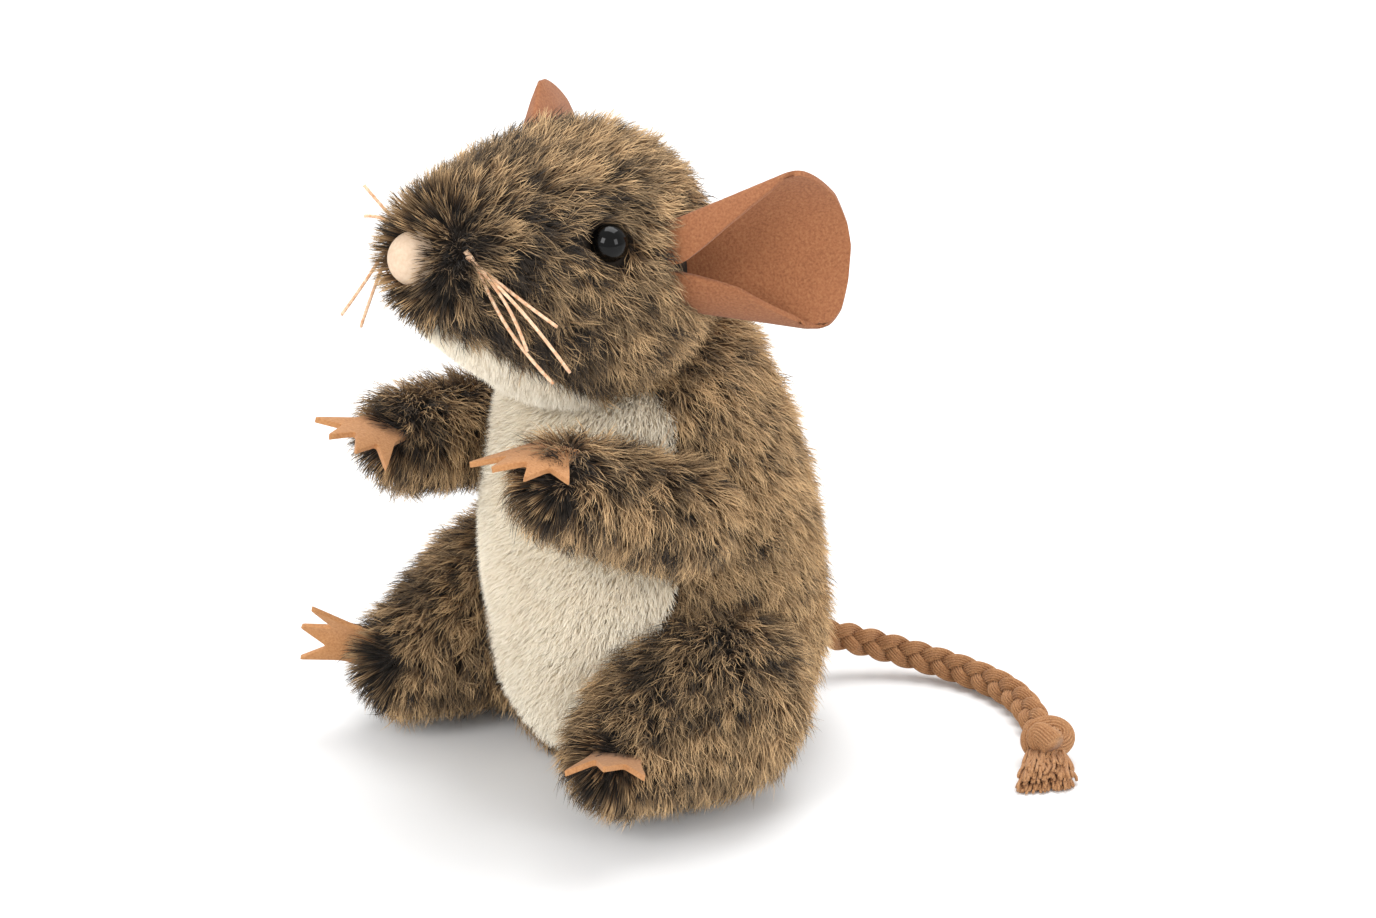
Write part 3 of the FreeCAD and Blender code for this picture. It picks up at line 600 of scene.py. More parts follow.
def strand_lines(roots, normals, naps, coat, rng):
    """Four points down each fibre, which rises from its root and lies along the nap."""
    count = len(roots)
    number = max(8, int(count / coat["per_clump"]))
    chosen = rng.choice(count, number, replace=False)
    tree = kdtree.KDTree(number)
    for i, k in enumerate(chosen):
        tree.insert(Vector(roots[k]), i)
    tree.balance()
    clump = np.array([tree.find(Vector(root))[1] for root in roots])

    def varied(of_clump, of_fibre):
        return rng.normal(0.0, of_clump, number)[clump] + rng.normal(0.0, of_fibre, count)

    swing = varied(coat["clump_swing"], coat["swing"])
    across = np.cross(normals, naps)
    leaning = naps * np.cos(swing)[:, None] + across * np.sin(swing)[:, None]
    lift = varied(coat["clump_lift"], LIFT_SPREAD)
    length = coat["length"] * (1.0 + rng.normal(0.0, coat["clump_length"], number)[clump]
                               + rng.uniform(SHORTEST, LONGEST, count))
    lines = [roots]
    for angle in coat["angles"]:
        rise = np.clip(angle + lift, FLATTEST, STEEPEST)[:, None]
        direction = normals * np.sin(rise) + leaning * np.cos(rise)
        lines.append(lines[-1] + direction * (length / 3.0)[:, None])
    lines = np.stack(lines, axis=1)
    centre = roots[chosen][clump]
    pull = coat["pull"] * PULL_ALONG
    lines += (centre - roots)[:, None, :] * pull[None, :, None]
    lines += rng.normal(0.0, coat["fuzz"], lines.shape) * FUZZ_ALONG[:, None]
    return lines, varied(coat["clump_tone"], TONE_SPREAD)


def ribbons(name, lines, normals, tones, coat, body, rng):
    """One mesh of thin tapered ribbons; its UV holds the fibre's tone and the way down it."""
    count = len(lines)
    tangents = unit(np.gradient(lines, axis=1))
    flat = unit(np.cross(tangents, normals[:, None, :]))
    other = np.cross(tangents, flat)
    roll = rng.uniform(-ROLL, ROLL, count)[:, None, None]
    across = flat * np.cos(roll) + other * np.sin(roll)
    half = 0.5 * coat["width"] * rng.uniform(THINNEST, THICKEST, count)[:, None, None]
    edge = across[:, :3] * half * TAPER[None, :, None]
    points = np.concatenate([lines[:, :3] - edge, lines[:, :3] + edge, lines[:, 3:]], axis=1)
    points[:, :, 2] = np.maximum(points[:, :, 2], FLOOR_CLEAR)
    pattern = np.array((0, 3, 4, 1, 1, 4, 5, 2, 2, 5, 6))  # two quads and a triangle
    down = np.array((0.0, 0.333, 0.667, 0.0, 0.333, 0.667, 1.0))
    loops = (np.arange(count)[:, None] * RIBBON_POINTS + pattern).ravel()
    starts = (np.arange(count)[:, None] * RIBBON_CORNERS + np.array((0, 4, 8))).ravel()
    mesh = bpy.data.meshes.new(name)
    mesh.vertices.add(count * RIBBON_POINTS)
    mesh.vertices.foreach_set("co", (points * MM).astype(np.float32).ravel())
    mesh.loops.add(len(loops))
    mesh.loops.foreach_set("vertex_index", loops.astype(np.int32))
    mesh.polygons.add(len(starts))
    mesh.polygons.foreach_set("loop_start", starts.astype(np.int32))
    mesh.update(calc_edges=True)
    layer = mesh.uv_layers.new(name="OFBake")
    uv = np.empty((count, RIBBON_CORNERS, 2), np.float32)
    uv[:, :, 0] = np.clip(tones, *UV_LIMITS)[:, None]
    uv[:, :, 1] = np.clip(down[pattern], *UV_LIMITS)
    layer.data.foreach_set("uv", uv.ravel())
    link(mesh, body, coat["fur"])


BROWN_COAT = {"length": 5.8, "per_clump": 13.0, "clump_swing": 0.34, "swing": 0.32,
              "clump_lift": 0.13, "clump_length": 0.10, "pull": 0.42, "fuzz": 0.26,
              "angles": (0.95, 0.62, 0.36), "clump_tone": 0.40, "width": 0.14, "density": 9.5,
              "fur": BROWN_FUR, "backing": BROWN_BACKING, "slot": "fur_brown"}
WHITE_COAT = {"length": 3.7, "per_clump": 10.0, "clump_swing": 0.3, "swing": 0.4,
              "clump_lift": 0.04, "clump_length": 0.02, "pull": 0.06, "fuzz": 0.16,
              "angles": (1.35, 1.1, 0.75), "clump_tone": 0.05, "width": 0.17, "density": 20.0,
              "fur": WHITE_FUR, "backing": WHITE_BACKING, "slot": "fur_white"}
# The side whose fibres get painted backlight.
BACKLIT_SIDE = np.array((0.64, 0.75, 0.10))
BACKLIGHT_PAINT = 0.30  # painted backlight: the pile's tone is raised toward this side, standing for light from behind glowing through the fibres
INSIDE = 4.5  # fibres rooted deeper than this in another part are left out
UNDERSIDE, SEAT_BAND = -0.7, 2.0  # no fibres where cloth faces down this near the floor
STAND_LENGTH, STAND_SHARE = 0.9, 0.85  # a standing fibre's length and straightness
EYES = np.array(((17.6, -23.7, 97.5), (-17.6, -23.7, 97.5)))
EYE_CLEAR, EYE_DEPTH = 3.15, 3.0  # room round an eye, from this far behind its middle
NOSE = np.array((0.0, -47.7, 95.7))
NOSE_CLEAR = 4.0  # no fibre crosses its face this near its middle
NOSE_FACE = 0.35  # cosine of half the angle of its bare face
EAR_BASE = (19.4, -10.1, 92.9)
EAR_POINTING = (0.705, 0.705, 0.088)
EAR_CUP = (0.5, -8.0, 5.0, 5.0)  # from this far along: its lowest, highest and deepest inside


def ear_frame():
    pointing = unit(EAR_POINTING)
    upward = unit(np.array((0.0, 0.0, 1.0)) - pointing * pointing[2])
    return pointing, upward, np.cross(pointing, upward)


def in_ear(points):
    """True inside the open cup of either ear."""
    pointing, upward, opening = ear_frame()
    offset = points.copy()
    offset[..., 0] = np.abs(offset[..., 0])
    offset -= EAR_BASE
    height = offset @ upward
    start, low, high, deep = EAR_CUP
    return ((offset @ pointing > start) & (height > low) & (height < high)
            & (np.abs(offset @ opening) < deep))


def clear_of_features(lines):
    """False for fibres that would lie over an eye or the nose, or in an ear."""
    keep = np.ones(len(lines), bool)
    for eye in EYES:
        outward = unit(eye - HEAD_CENTRE)
        offset = lines - eye
        height = offset @ outward
        aside = np.linalg.norm(offset - height[..., None] * outward, axis=2)
        keep &= ~np.any((aside < EYE_CLEAR) & (height > -EYE_DEPTH), axis=1)
    from_nose = lines - NOSE
    distance = np.linalg.norm(from_nose, axis=2)
    before = from_nose @ HEAD_AXIS
    aside = np.sqrt(np.maximum(distance ** 2 - before ** 2, 0.0))
    keep &= ~np.any((before > NOSE_FACE * distance) & (aside < NOSE_CLEAR), axis=1)
    keep &= ~np.any(in_ear(lines), axis=1)
    return keep


def grow(name, mesh, body, coat, nap_at, tone_at, hidden, seed):
    """Fur over a mesh, split into as many pieces as its fibre count needs."""
    rng = np.random.default_rng(seed)
    total = int(surface_area(mesh) * coat["density"])
    roots, normals = scattered(mesh, total, rng)
    seen = np.ones(total, bool)
    for other in hidden:
        seen &= other.depth(roots) < INSIDE
    seen &= ~((normals[:, 2] < UNDERSIDE) & (roots[:, 2] < SEAT_BAND))
    roots, normals = roots[seen], normals[seen]
    naps, scale, upright = nap_at(roots, normals)
    lines, tone = strand_lines(roots, normals, naps, coat, rng)
    stand = head_stand(roots, normals) if body == "head" else normals
    height = coat["length"] * STAND_LENGTH * EVEN_ALONG
    standing = roots[:, None, :] + stand[:, None, :] * height[None, :, None]
    lines += (standing - lines) * upright[:, None, None] * STAND_SHARE
    lines = roots[:, None, :] + (lines - roots[:, None, :]) * scale[:, None, None]
    tone += tone_at(roots, normals, upright)
    # painted backlight: fibres whose cloth faces the back side are painted paler
    tone += BACKLIGHT_PAINT * smooth(0.1, 1.0, normals @ BACKLIT_SIDE)
    if body == "head":
        keep = clear_of_features(lines)
        lines, normals, tone = lines[keep], normals[keep], tone[keep]
    pieces = max(1, math.ceil(len(lines) / MAX_STRANDS))
    for k in range(pieces):
        pick = slice(k, None, pieces)
        label = name if pieces == 1 else f"{name}_{k + 1}"
        ribbons(label, lines[pick], normals[pick], tone[pick], coat, body, rng)


MIDDLE_TONE = 0.44
TUFT_TONE, TUFT_SIZE = 0.60, 2.6
PATCH_TONE, PATCH_SIZE = 0.22, 10.0
CHEEK_FALL, NAPE_FALL = 1.1, 0.5  # how much the head's pile turns down there
SNOUT_SHORT, MUZZLE_LONG = 0.15, 0.30
FORWARD_STAND = 1.1  # how far the fibres round the nose lean forward
# The third of these is painted shade: the head's pile is painted darker where it faces down.
TOP_DARK, CHEEK_DARK, UNDER_SHADE_PAINT, MUZZLE_LIGHT = 0.04, 0.34, 0.10, 0.02
TORSO_LIGHT, WHORL_DARK = 0.16, 0.24
PANEL_UPRIGHT = 0.40  # the short pale pile stands up this much


def brown_tone(roots, patch_seed):
    """Light and dark tufts of the pile, over broader patches."""
    return (MIDDLE_TONE + TUFT_TONE * noise_at(roots, TUFT_SIZE, patch_seed)
            + PATCH_TONE * noise_at(roots, PATCH_SIZE, patch_seed + 1))


def head_nap(roots, normals):
    """Back from the nose and down over the cheeks; standing up round the muzzle's end."""
    ahead = on_head(roots)[0]
    side = np.abs(roots[:, 0]) / HEAD_RADIUS
    flow = np.tile(-HEAD_AXIS, (len(roots), 1))
    flow[:, 2] -= CHEEK_FALL * smooth(0.15, 0.8, side) * (1.0 - smooth(20.0, 32.0, ahead))
    flow[:, 2] -= NAPE_FALL * smooth(-5.0, -20.0, ahead)
    upright = smooth(25.0, 33.0, ahead)
    scale = (1.0 - SNOUT_SHORT * smooth(14.0, 24.0, ahead)
             + MUZZLE_LONG * smooth(25.0, 30.0, ahead))
    return flattened(flow, normals), scale, upright


def head_stand(roots, normals):
    """Round the nose the fibres stand forward, so that it sits in them."""
    ahead = on_head(roots)[0]
    return unit(normals + HEAD_AXIS * FORWARD_STAND * smooth(24.0, 30.0, ahead)[:, None])


def head_tone(roots, normals, upright):
    top = smooth(0.2, 0.95, normals[:, 2])
    # painted shade: darker where the pile faces down, under the head
    under = smooth(0.2, -0.6, normals[:, 2])
    ahead = on_head(roots)[0]
    cheek = smooth(2.0, 16.0, ahead) * smooth(0.8, 0.2, normals[:, 2]) * smooth(31.0, 25.0, ahead)
    return (brown_tone(roots, 3) - TOP_DARK * top + MUZZLE_LIGHT * upright
            - CHEEK_DARK * cheek - UNDER_SHADE_PAINT * under)


def even_nap(flow, upright):
    """Pile that lies the same way all over."""
    def nap_at(roots, normals):
        count = len(roots)
        naps = flattened(np.tile(flow, (count, 1)), normals)
        return naps, np.ones(count), np.full(count, upright)
    return nap_at


torso_nap = even_nap((0.0, 0.12, -1.0), 0.0)
panel_nap = even_nap((0.0, -0.1, -1.0), PANEL_UPRIGHT)


def torso_tone(roots, normals, upright):
    return brown_tone(roots, 11) + TORSO_LIGHT


def panel_tone(roots, normals, upright):
    return 0.55 + 0.3 * noise_at(roots, 5.0, 21)


def limb_nap(limb, whorl):
    """Down round the limb, standing up round a whorl on its round end."""
    def nap_at(roots, normals):
        flow = np.tile(limb.axis * 0.25 + np.array((0.0, 0.0, -1.0)), (len(roots), 1))
        beyond = smooth(-0.2, 0.5, (roots - limb.end) @ limb.axis / limb.radii[1])
        upright = smooth(0.45, 0.92, normals @ unit(whorl)) * beyond
        return flattened(flow, normals), np.ones(len(roots)), upright
    return nap_at


def limb_tone(seed):
    def tone_at(roots, normals, upright):
        return brown_tone(roots, seed) - WHORL_DARK * upright
    return tone_at


def furry_part(name, body, form, keep, nodes, coat, nap_at, tone_at, hidden, seed):
    """A stuffed form with its fur, standing for the CAD skin nodes if any are given."""
    mesh = form_mesh(name, form.rings(), keep)
    base = link(mesh, body, coat["backing"])
    if nodes:
        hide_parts(*nodes)
    grow(name + "_pile", mesh, body, coat, nap_at, tone_at, hidden, seed)


WHORLS = {"leg_left": (0.45, -0.85, 0.15), "leg_right": (0.10, -0.95, 0.20),
          "arm_left": (0.40, -0.85, 0.25), "arm_right": (0.15, -0.95, 0.20)}


def build_fur():
    round_torso = [*limbs.values(), head]
    furry_part("back_cover", "torso", torso, lambda p: ~on_panel(p), ["torso_back"], BROWN_COAT,
               torso_nap, torso_tone, round_torso, 31)
    furry_part("belly_cover", "torso", torso, on_panel, ["belly_panel"], WHITE_COAT,
               panel_nap, panel_tone, round_torso, 32)
    furry_part("head_cover", "head", head, lambda p: ~on_throat(p), ["head_skin"], BROWN_COAT,
               head_nap, head_tone, [torso], 33)
    furry_part("throat_cover", "head", head, on_throat, [], WHITE_COAT,
               panel_nap, panel_tone, [torso], 34)
    for k, (body, limb) in enumerate(limbs.items()):
        furry_part(body + "_cover", body, limb, None, [body + "_skin"], BROWN_COAT,
                   limb_nap(limb, WHORLS[body]), limb_tone(40 + k), [torso], 50 + k)


build_fur()


# ---- felt ears
EAR_SUNK = -3.0
FELT_THICK = 0.9
# Each pair holds distances along the ear, or angles round its rim, and the values there.
EAR_TOP = ((-3.0, 0.0, 17.0, 19.0, 26.0), (5.2, 5.8, 12.1, 12.4, 12.4))
EAR_LOW = ((-3.0, 0.0, 11.5, 18.0, 26.0), (-8.2, -9.2, -11.6, -13.0, -13.2))
EAR_RIM = ((90.0, 125.0, 147.0, 173.0, 189.0, 213.0, 237.0, 263.0, 270.0),
           (17.8, 21.5, 23.8, 25.2, 25.5, 24.8, 23.6, 21.3, 20.0))
EAR_OPEN_U = (0.0, 0.15, 0.5, 0.85, 1.0)
EAR_FIRST_ANGLE = (8.0, 12.0, 42.0, 67.0, 90.0)
EAR_LAST_ANGLE = (362.0, 358.0, 339.0, 302.0, 270.0)
EAR_DEPTH = ((-3.0, 0.0, 10.0, 26.0), (3.0, 3.4, 5.4, 6.6))
EAR_OPENNESS = {"left": 1.0, "right": 0.75}
FAR_EAR_DROP = 1.1  # the right ear is sewn this much lower
EAR_CREASE = 0.8  # how sharply the felt folds at its top and bottom
EAR_ROWS, EAR_COLUMNS = 30, 56
CUT_EDGE = 0.16  # the felt's cut edges are eased this much
CUT_ANGLE = math.radians(50.0)


def make_ear(side):
    """A felt cup: both long edges fold forward and meet at the head, and the rim opens wide."""
    pointing, upward, opening = ear_frame()
    points = []
    for u in np.linspace(0.0, 1.0, EAR_ROWS):
        first = np.interp(u, EAR_OPEN_U, EAR_FIRST_ANGLE)
        last = np.interp(u, EAR_OPEN_U, EAR_LAST_ANGLE)
        for v in np.linspace(0.0, 1.0, EAR_COLUMNS):
            reach = np.interp(90.0 + 180.0 * v, *EAR_RIM)
            s = EAR_SUNK + (reach - EAR_SUNK) * u
            top = np.interp(s, *EAR_TOP)
            low = np.interp(s, *EAR_LOW)
            depth = np.interp(s, *EAR_DEPTH)
            turn = math.radians(first + (last - first) * v)
            height = (top + low) / 2 + (top - low) / 2 * math.sin(turn)
            forward = depth * math.cos(turn) * abs(math.cos(turn)) ** EAR_CREASE
            forward *= EAR_OPENNESS[side]
            points.append(np.array(EAR_BASE) + pointing * s + upward * height + opening * forward)
    points = np.array(points)
    if side == "right":
        points[:, 0] *= -1.0
        points[:, 2] -= FAR_EAR_DROP
    mesh = mesh_of(f"ear_{side}_felt", points, grid_faces(EAR_ROWS, EAR_COLUMNS, False))
    ear = link(mesh, "head", EAR_FELT)
    thicken(ear)
    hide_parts(f"ear_{side}")


def thicken(obj):
    solid = obj.modifiers.new("felt", "SOLIDIFY")
    solid.thickness = FELT_THICK * MM
    solid.offset = 0.0
    bevel = obj.modifiers.new("cut_edge", "BEVEL")
    bevel.width = CUT_EDGE * MM
    bevel.segments = 2
    bevel.limit_method = "ANGLE"
    bevel.angle_limit = CUT_ANGLE


for ear_side in ("left", "right"):
    make_ear(ear_side)


# ---- felt hands and feet
HAND_OUTLINE = ((-0.22, 0.0), (-0.26, 0.38), (-0.50, 0.88), (-0.20, 0.62), (-0.18, 1.0),
                (0.03, 0.66), (0.16, 0.97), (0.22, 0.58), (0.50, 0.70), (0.26, 0.30), (0.22, 0.0))
FOOT_OUTLINE = ((-0.30, 0.0), (-0.32, 0.45), (-0.50, 0.95), (-0.18, 0.62), (0.0, 1.0),
                (0.18, 0.62), (0.50, 0.90), (0.32, 0.42), (0.30, 0.0))
# Each paw's body, outline, root, the way it points, its side, its width, length and droop.
PAWS = {
    "hand_left": ("arm_left", HAND_OUTLINE, (20.8, -36.2, 67.9), (0.31, -0.94, 0.13),
                  (0.95, 0.31, -0.03), 17.0, 15.0, 1.2),
    "hand_right": ("arm_right", HAND_OUTLINE, (-21.6, -37.3, 58.0), (0.35, -0.91, 0.23),
                   (-0.92, -0.30, 0.24), 17.0, 15.0, 1.2),
    "foot_left": ("leg_left", FOOT_OUTLINE, (28.6, -30.8, 16.2), (0.60, -0.73, 0.33),
                  (0.77, 0.63, -0.01), 13.0, 15.0, 0.8),
    "foot_right": ("leg_right", FOOT_OUTLINE, (-28.8, -34.8, 13.8), (-0.68, -0.65, 0.32),
                   (-0.38, 0.02, -0.77), 13.0, 15.0, 0.8),
}
GRID_STEP = 0.06
CORNER_STEPS = 5
CORNER_EASE = 0.16  # share of each edge that a corner takes up
PAW_CUP = 1.1  # how far the outer fingers bend down
PAW_RIPPLE, RIPPLE_TURN, RIPPLE_START = 0.35, 9.0, 2.0


def rounded_outline(outline):
    """The outline with each corner eased, as scissors cut it."""
    made = []
    count = len(outline)
    for i in range(count):
        before, here, after = (np.array(outline[(i + k) % count]) for k in (-1, 0, 1))
        start, end = here + (before - here) * CORNER_EASE, here + (after - here) * CORNER_EASE
        for t in np.linspace(0.0, 1.0, CORNER_STEPS):
            made.append((1 - t) ** 2 * start + 2 * t * (1 - t) * here + t * t * end)
    return made


def make_paw(name, body, outline, root, ahead, side, width, length, droop):
    """A flat felt hand or foot that droops a little and is not quite even."""
    edge = rounded_outline(outline)
    inner = [np.array((x, y)) for x in np.arange(-0.5, 0.51, GRID_STEP)
             for y in np.arange(0.0, 1.01, GRID_STEP)]
    corners = [Vector(p) for p in edge + inner]
    loop = [(i, (i + 1) % len(edge)) for i in range(len(edge))]
    flat, _, faces, _, _, _ = geometry.delaunay_2d_cdt(corners, loop, [], 1, 1e-5)
    ahead = unit(ahead)
    side = unit(np.array(side) - ahead * np.dot(side, ahead))
    upward = np.cross(side, ahead)
    upward = upward if upward[2] > 0 else -upward
    points = []
    for x, y in flat:
        ripple = PAW_RIPPLE * math.sin(RIPPLE_TURN * x + RIPPLE_START) * y
        bend = -droop * y * y - PAW_CUP * (x * 2) ** 2 * y + ripple
        points.append(np.array(root) + side * x * width + ahead * y * length + upward * bend)
    mesh = mesh_of(name + "_felt", points, faces)
    paw = link(mesh, body, LIGHT_FELT)
    thicken(paw)
    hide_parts(name)


for paw_name, paw_facts in PAWS.items():
    make_paw(paw_name, *paw_facts)


# ---- whiskers
WHISKER_ROOTS = {"left": np.array((9.7, -43.5, 96.5)), "right": np.array((-8.0, -44.5, 98.0))}
WHISKER_TIPS = {
    "left": ((20.0, -36.0, 87.5), (22.0, -35.2, 80.4), (20.0, -36.9, 78.4), (17.0, -39.5, 83.5)),
    "right": ((-15.0, -46.1, 103.1), (-16.0, -45.4, 97.6), (-17.0, -49.7, 81.9),
              (-16.0, -46.8, 79.4))}
WHISKER_BOWS = ((0.3, 0.4, -0.6), (0.9, -0.3, 0.9), (-0.6, -0.7, -0.8), (0.7, 0.3, 0.8))
WHISKER_BEND = {"left": 1.0, "right": 0.5}
WHISKER_RADIUS = 0.27
WHISKER_SUNK = 0.12  # share of a thread that runs on into the snout
WHISKER_STEPS, WHISKER_AROUND = 26, 10
THREAD_TWIST, THREAD_RIDGE = 40.0, 0.12


def whisker_radius(share, angles):
    """A two-ply thread's section, turning along its length."""
    return np.full(len(angles), WHISKER_RADIUS) * (
        1.0 + THREAD_RIDGE * np.cos(2.0 * (angles + THREAD_TWIST * share)))


def make_whiskers(side):
    parts = Patchwork()
    flip = np.array((1.0 if side == "left" else -1.0, 1.0, 1.0))
    for tip, bow in zip(WHISKER_TIPS[side], WHISKER_BOWS):
        root, end = WHISKER_ROOTS[side], np.array(tip)
        share = np.linspace(-WHISKER_SUNK, 1.0, WHISKER_STEPS)[:, None]
        arch = np.sin(np.clip(share, 0.0, 1.0) * math.pi)
        line = root + (end - root) * share + np.array(bow) * flip * arch * WHISKER_BEND[side]
        parts.tube(line, whisker_radius, WHISKER_AROUND)
    threads = parts.piece(f"whisker_threads_{side}", "head", THREAD)
    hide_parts(f"whiskers_{side}")


for whisker_side in ("left", "right"):
    make_whiskers(whisker_side)


# ---- braided tail
PLAIT_STRANDS = 3
PLAIT_PITCH = 12.3  # length of a strand's full swing
PLAIT_SWAY = 1.45  # how far it swings to each side
PLAIT_RISE = 1.00  # and rises and dips as it crosses
PLAIT_FACE = (0.48, -0.72, 0.43)  # the way the plait's broad face points
STRAND_WIDE, STRAND_THICK = 1.20, 0.92
STRAND_YARNS = 13  # ridges round each strand
YARN_DEPTH = 0.30  # depth of their grooves, as a share of the radius
STRAND_AROUND = 96
TAIL_STEPS, TAIL_PATH_STEPS = 420, 140


def lobed(angles, wide, thick, lobes, depth, turn=0.0):
    """Radii of a flattened strand with a ridge for each of its yarns."""
    base = 1.0 / np.sqrt((np.cos(angles) / wide) ** 2 + (np.sin(angles) / thick) ** 2)
    return base * (1.0 - depth + depth * np.abs(np.cos(lobes * 0.5 * angles + turn)))


def strand_tube(parts, line, faces_to):
    """A flattened strand whose wide side faces faces_to."""
    tangents = unit(np.gradient(line, axis=0))
    outward = flattened(faces_to, tangents)
    sides = np.cross(tangents, outward)
    angles = round_angles(STRAND_AROUND)
    radii = lobed(angles, STRAND_WIDE, STRAND_THICK, STRAND_YARNS, YARN_DEPTH)
    parts.add(np.array([ring_round(line[i], radii, angles, sides[i], outward[i])
                        for i in range(len(line))]))


def make_tail():
    """A flat three-strand plait along the route, with its knot and tassel."""
    route = evenly(spline_points(TAIL_ROUTE), TAIL_STEPS)
    line = route / MM
    tangents = unit(np.gradient(line, axis=0))
    face = flattened(np.tile(PLAIT_FACE, (len(line), 1)), tangents)
    across = np.cross(tangents, face)
    walked = np.linspace(0.0, 1.0, len(line)) * np.linalg.norm(np.diff(line, axis=0), axis=1).sum()
    parts = Patchwork()
    for k in range(PLAIT_STRANDS):
        phase = 2.0 * math.pi * (walked / PLAIT_PITCH + k / PLAIT_STRANDS)
        sway, rise = PLAIT_SWAY * np.sin(phase), PLAIT_RISE * np.sin(2.0 * phase)
        strand_tube(parts, line + sway[:, None] * across + rise[:, None] * face, face)
    tail = parts.piece("tail_braid", "torso", COTTON)
    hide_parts("tail_cord")
    knot = make_knot(line)
    tassel = make_tassel(line)


KNOT_LIFT = 0.22  # the knot's axis rises from the run's direction
KNOT_LENGTH = 10.6
KNOT_HEIGHT = 4.15
KNOT_TURNS, KNOT_START, KNOT_SHIFT = 1.7, 2.4, 4.4  # turns, first angle and way along
KNOT_UP, KNOT_ASIDE = 0.55, -0.35  # how their axis leans
KNOT_ACROSS, KNOT_OVER = 2.8, 1.9  # radii of those turns
KNOT_CORD, KNOT_CORE = (2.15, 1.95), 2.5
KNOT_YARNS = 22
KNOT_STEPS, KNOT_AROUND = 150, 132
CORE_STEPS, CORE_AROUND = 24, 90
TASSEL_ROOT_HEIGHT = 2.9
TASSEL_BACK, TASSEL_ASIDE = 3.2, 0.6  # where the yarns start, from the knot's end
TASSEL_TURN, TASSEL_FALL = 0.22, 0.22  # to the side and down for each unit ahead
TASSEL_REACH, TASSEL_WIDE, TASSEL_THICK = 8.8, 4.2, 2.0
TASSEL_YARNS = 230
YARN_FLOOR, TIP_FLOOR = 0.45, 0.5  # least heights of a yarn and its tip
YARN_STEPS, YARN_AROUND = 10, 7


def knot_frame(line):
    ahead = unit(line[-1] - line[-12])
    ahead = unit(ahead + np.array((0.0, 0.0, KNOT_LIFT)))
    side = unit(np.cross(ahead, (0.0, 0.0, 1.0)))
    return ahead, side, np.cross(side, ahead)


def core_radius(share, angles):
    """The knot's filling, rounded off toward both ends."""
    rounded = math.sqrt(max(0.05, 1.0 - (2.0 * share - 1.0) ** 4))
    return lobed(angles, KNOT_CORE, KNOT_CORE, KNOT_YARNS, 0.16, 5.0 * share) * rounded


def make_knot(line):
    """An overhand knot pulled tight: the cord turns once round itself and comes out beyond."""
    ahead, side, upward = knot_frame(line)
    centre = line[-1] + ahead * KNOT_LENGTH * 0.5
    centre[2] = KNOT_HEIGHT
    parts = Patchwork()
    turns = np.linspace(0.0, 1.0, 90)
    around = 2.0 * math.pi * KNOT_TURNS * turns + KNOT_START
    along = (turns - 0.5) * KNOT_SHIFT
    lean = unit(ahead + upward * KNOT_UP + side * KNOT_ASIDE)
    across = unit(np.cross(lean, upward))
    over = np.cross(across, lean)
    ring = (centre + lean * along[:, None] + KNOT_ACROSS * np.cos(around)[:, None] * across
            + KNOT_OVER * np.sin(around)[:, None] * over)
    first = line[-1] - ahead * 1.5
    last = centre + ahead * KNOT_LENGTH * 0.48
    path = np.concatenate([[first], ring, [last]])
    controls = [tuple(p * MM) for p in path[::6]] + [tuple(last * MM)]
    path = evenly(spline_points(controls) / MM, KNOT_STEPS)
    parts.tube(path, lambda s, angles: lobed(angles, *KNOT_CORD, KNOT_YARNS, 0.20, 2.0 * s),
               KNOT_AROUND)
    core = np.linspace(-0.4, 0.4, CORE_STEPS)[:, None] * KNOT_LENGTH * ahead + centre
    parts.tube(core, core_radius, CORE_AROUND)
    knot = parts.piece("tail_knot_yarn", "torso", COTTON)
    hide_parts("tail_knot")
    return knot


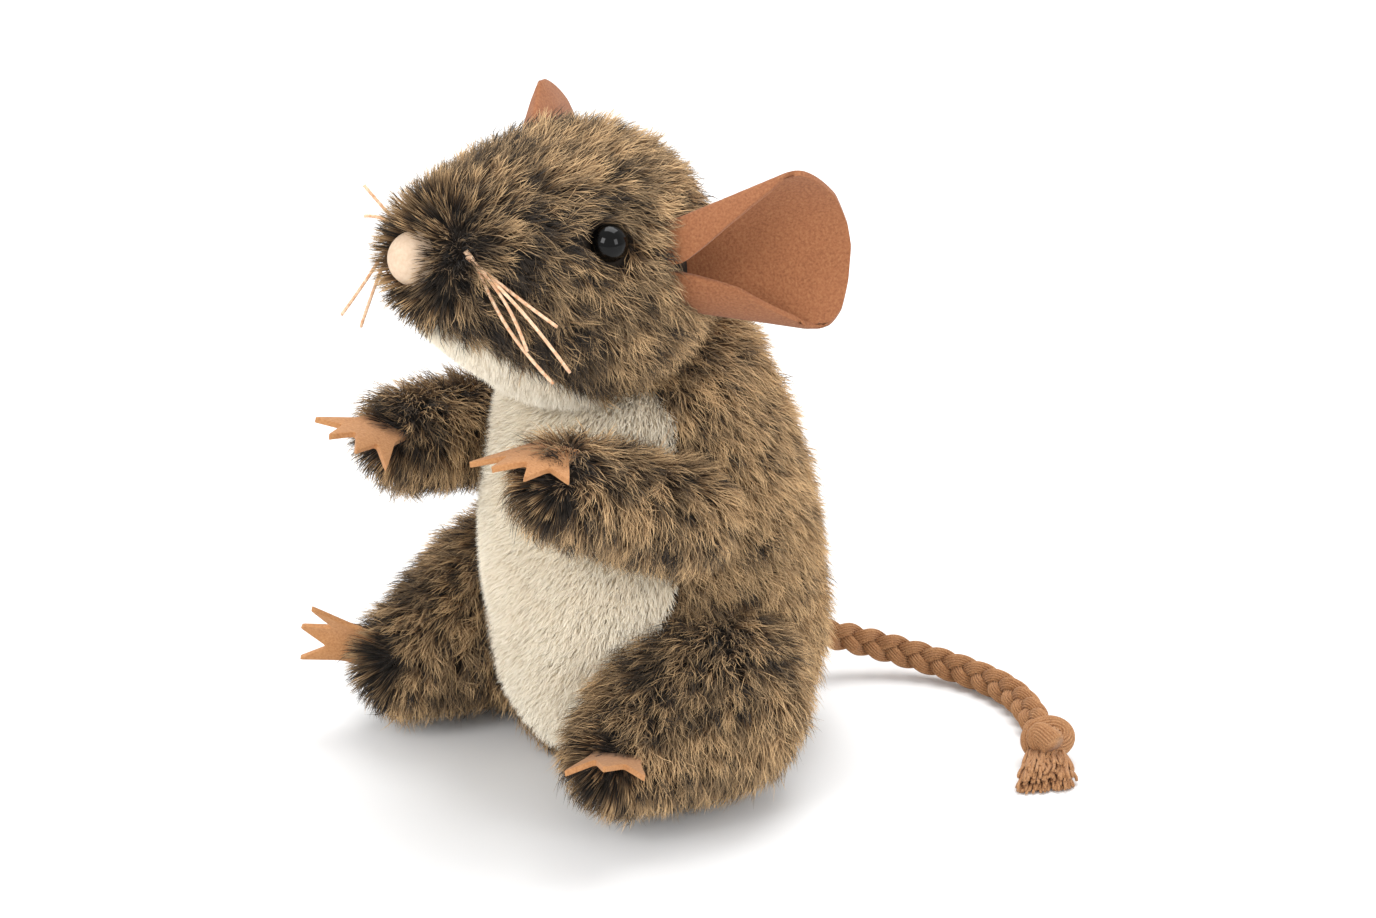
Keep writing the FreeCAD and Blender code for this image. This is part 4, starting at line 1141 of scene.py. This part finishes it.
def make_tassel(line):
    """Cut yarn ends fanning out past the knot and down to the floor."""
    rng = np.random.default_rng(71)
    ahead, side, upward = knot_frame(line)
    level = unit(ahead * np.array((1.0, 1.0, 0.0)))
    start = line[-1] + level * (KNOT_LENGTH - TASSEL_BACK) + side * TASSEL_ASIDE
    start[2] = TASSEL_ROOT_HEIGHT
    fall = unit(level + side * TASSEL_TURN + np.array((0.0, 0.0, -TASSEL_FALL)))
    parts = Patchwork()
    for _ in range(TASSEL_YARNS):
        spread = math.sqrt(rng.random())
        turn = rng.random() * 2.0 * math.pi
        out = (side * math.cos(turn) * TASSEL_WIDE * spread
               + upward * math.sin(turn) * TASSEL_THICK * spread)
        end = start + fall * TASSEL_REACH * rng.uniform(0.72, 1.1) + out * 1.15
        end[2] = max(TIP_FLOOR, end[2])
        wave = rng.normal(0.0, 0.42, 3)
        share = np.linspace(0.0, 1.0, YARN_STEPS)[:, None]
        strand = (start + out * 0.7) * (1 - share) + end * share
        strand = strand + wave * np.sin(share * math.pi * rng.uniform(1.2, 2.2))
        strand[:, 2] = np.maximum(strand[:, 2], YARN_FLOOR)
        radius = rng.uniform(0.22, 0.34)
        parts.tube(strand, lambda s, angles: np.full(len(angles), radius)
                   * (1.0 + 0.12 * math.sin(17.0 * s)), YARN_AROUND)
    tassel = parts.piece("tail_tassel_yarn", "torso", COTTON)
    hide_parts("tail_tassel")
    return tassel


make_tail()


# ---- floor and light
FLOOR_HALF = 2.5
WORLD_STRENGTH = 0.85
LIGHT_AIM = Vector((0, 0, 0.05))
# Each light's name, place, size and watts.
LIGHTS = (("top_light", (-0.15, 0.25, 0.9), (0.8, 0.6), 7.0),
          ("key_light", (0.1, -0.9, 0.6), (0.4, 0.5), 5.0),
          ("side_light", (0.9, 0.05, 0.45), (0.35, 0.5), 3.0))


def make_floor():
    mesh = bpy.data.meshes.new("floor")
    corners = [(x * FLOOR_HALF, y * FLOOR_HALF, 0)
               for x, y in ((-1, -1), (1, -1), (1, 1), (-1, 1))]
    mesh.from_pydata(corners, [], [(0, 1, 2, 3)])
    nodes = Nodes("floor_paper", roughness=0.9)
    value = nodes.noise(3.0)
    nodes.colour(nodes.ramp(value, ((0.3, srgb(234, 234, 234)), (0.7, srgb(238, 238, 238)))))
    mesh.materials.append(nodes.material)
    put_in_scene(bpy.data.objects.new("floor", mesh))


def area_light(name, place, size, watts):
    data = bpy.data.lights.new(name, "AREA")
    data.shape = "RECTANGLE"
    data.size, data.size_y = size
    data.energy = watts
    light = put_in_scene(bpy.data.objects.new(name, data))
    light.location = place
    light.rotation_mode = "QUATERNION"
    light.rotation_quaternion = (LIGHT_AIM - Vector(place)).to_track_quat("-Z", "Y")


def make_light():
    world = bpy.data.worlds.new("studio")
    world.use_nodes = True
    background = world.node_tree.nodes["Background"]
    background.inputs["Color"].default_value = (1.0, 1.0, 1.0, 1.0)
    background.inputs["Strength"].default_value = WORLD_STRENGTH
    bpy.context.scene.world = world
    for facts in LIGHTS:
        area_light(*facts)


make_floor()
make_light()
bpy.context.scene.view_settings.view_transform = "Standard"

bpy.context.view_layer.update()
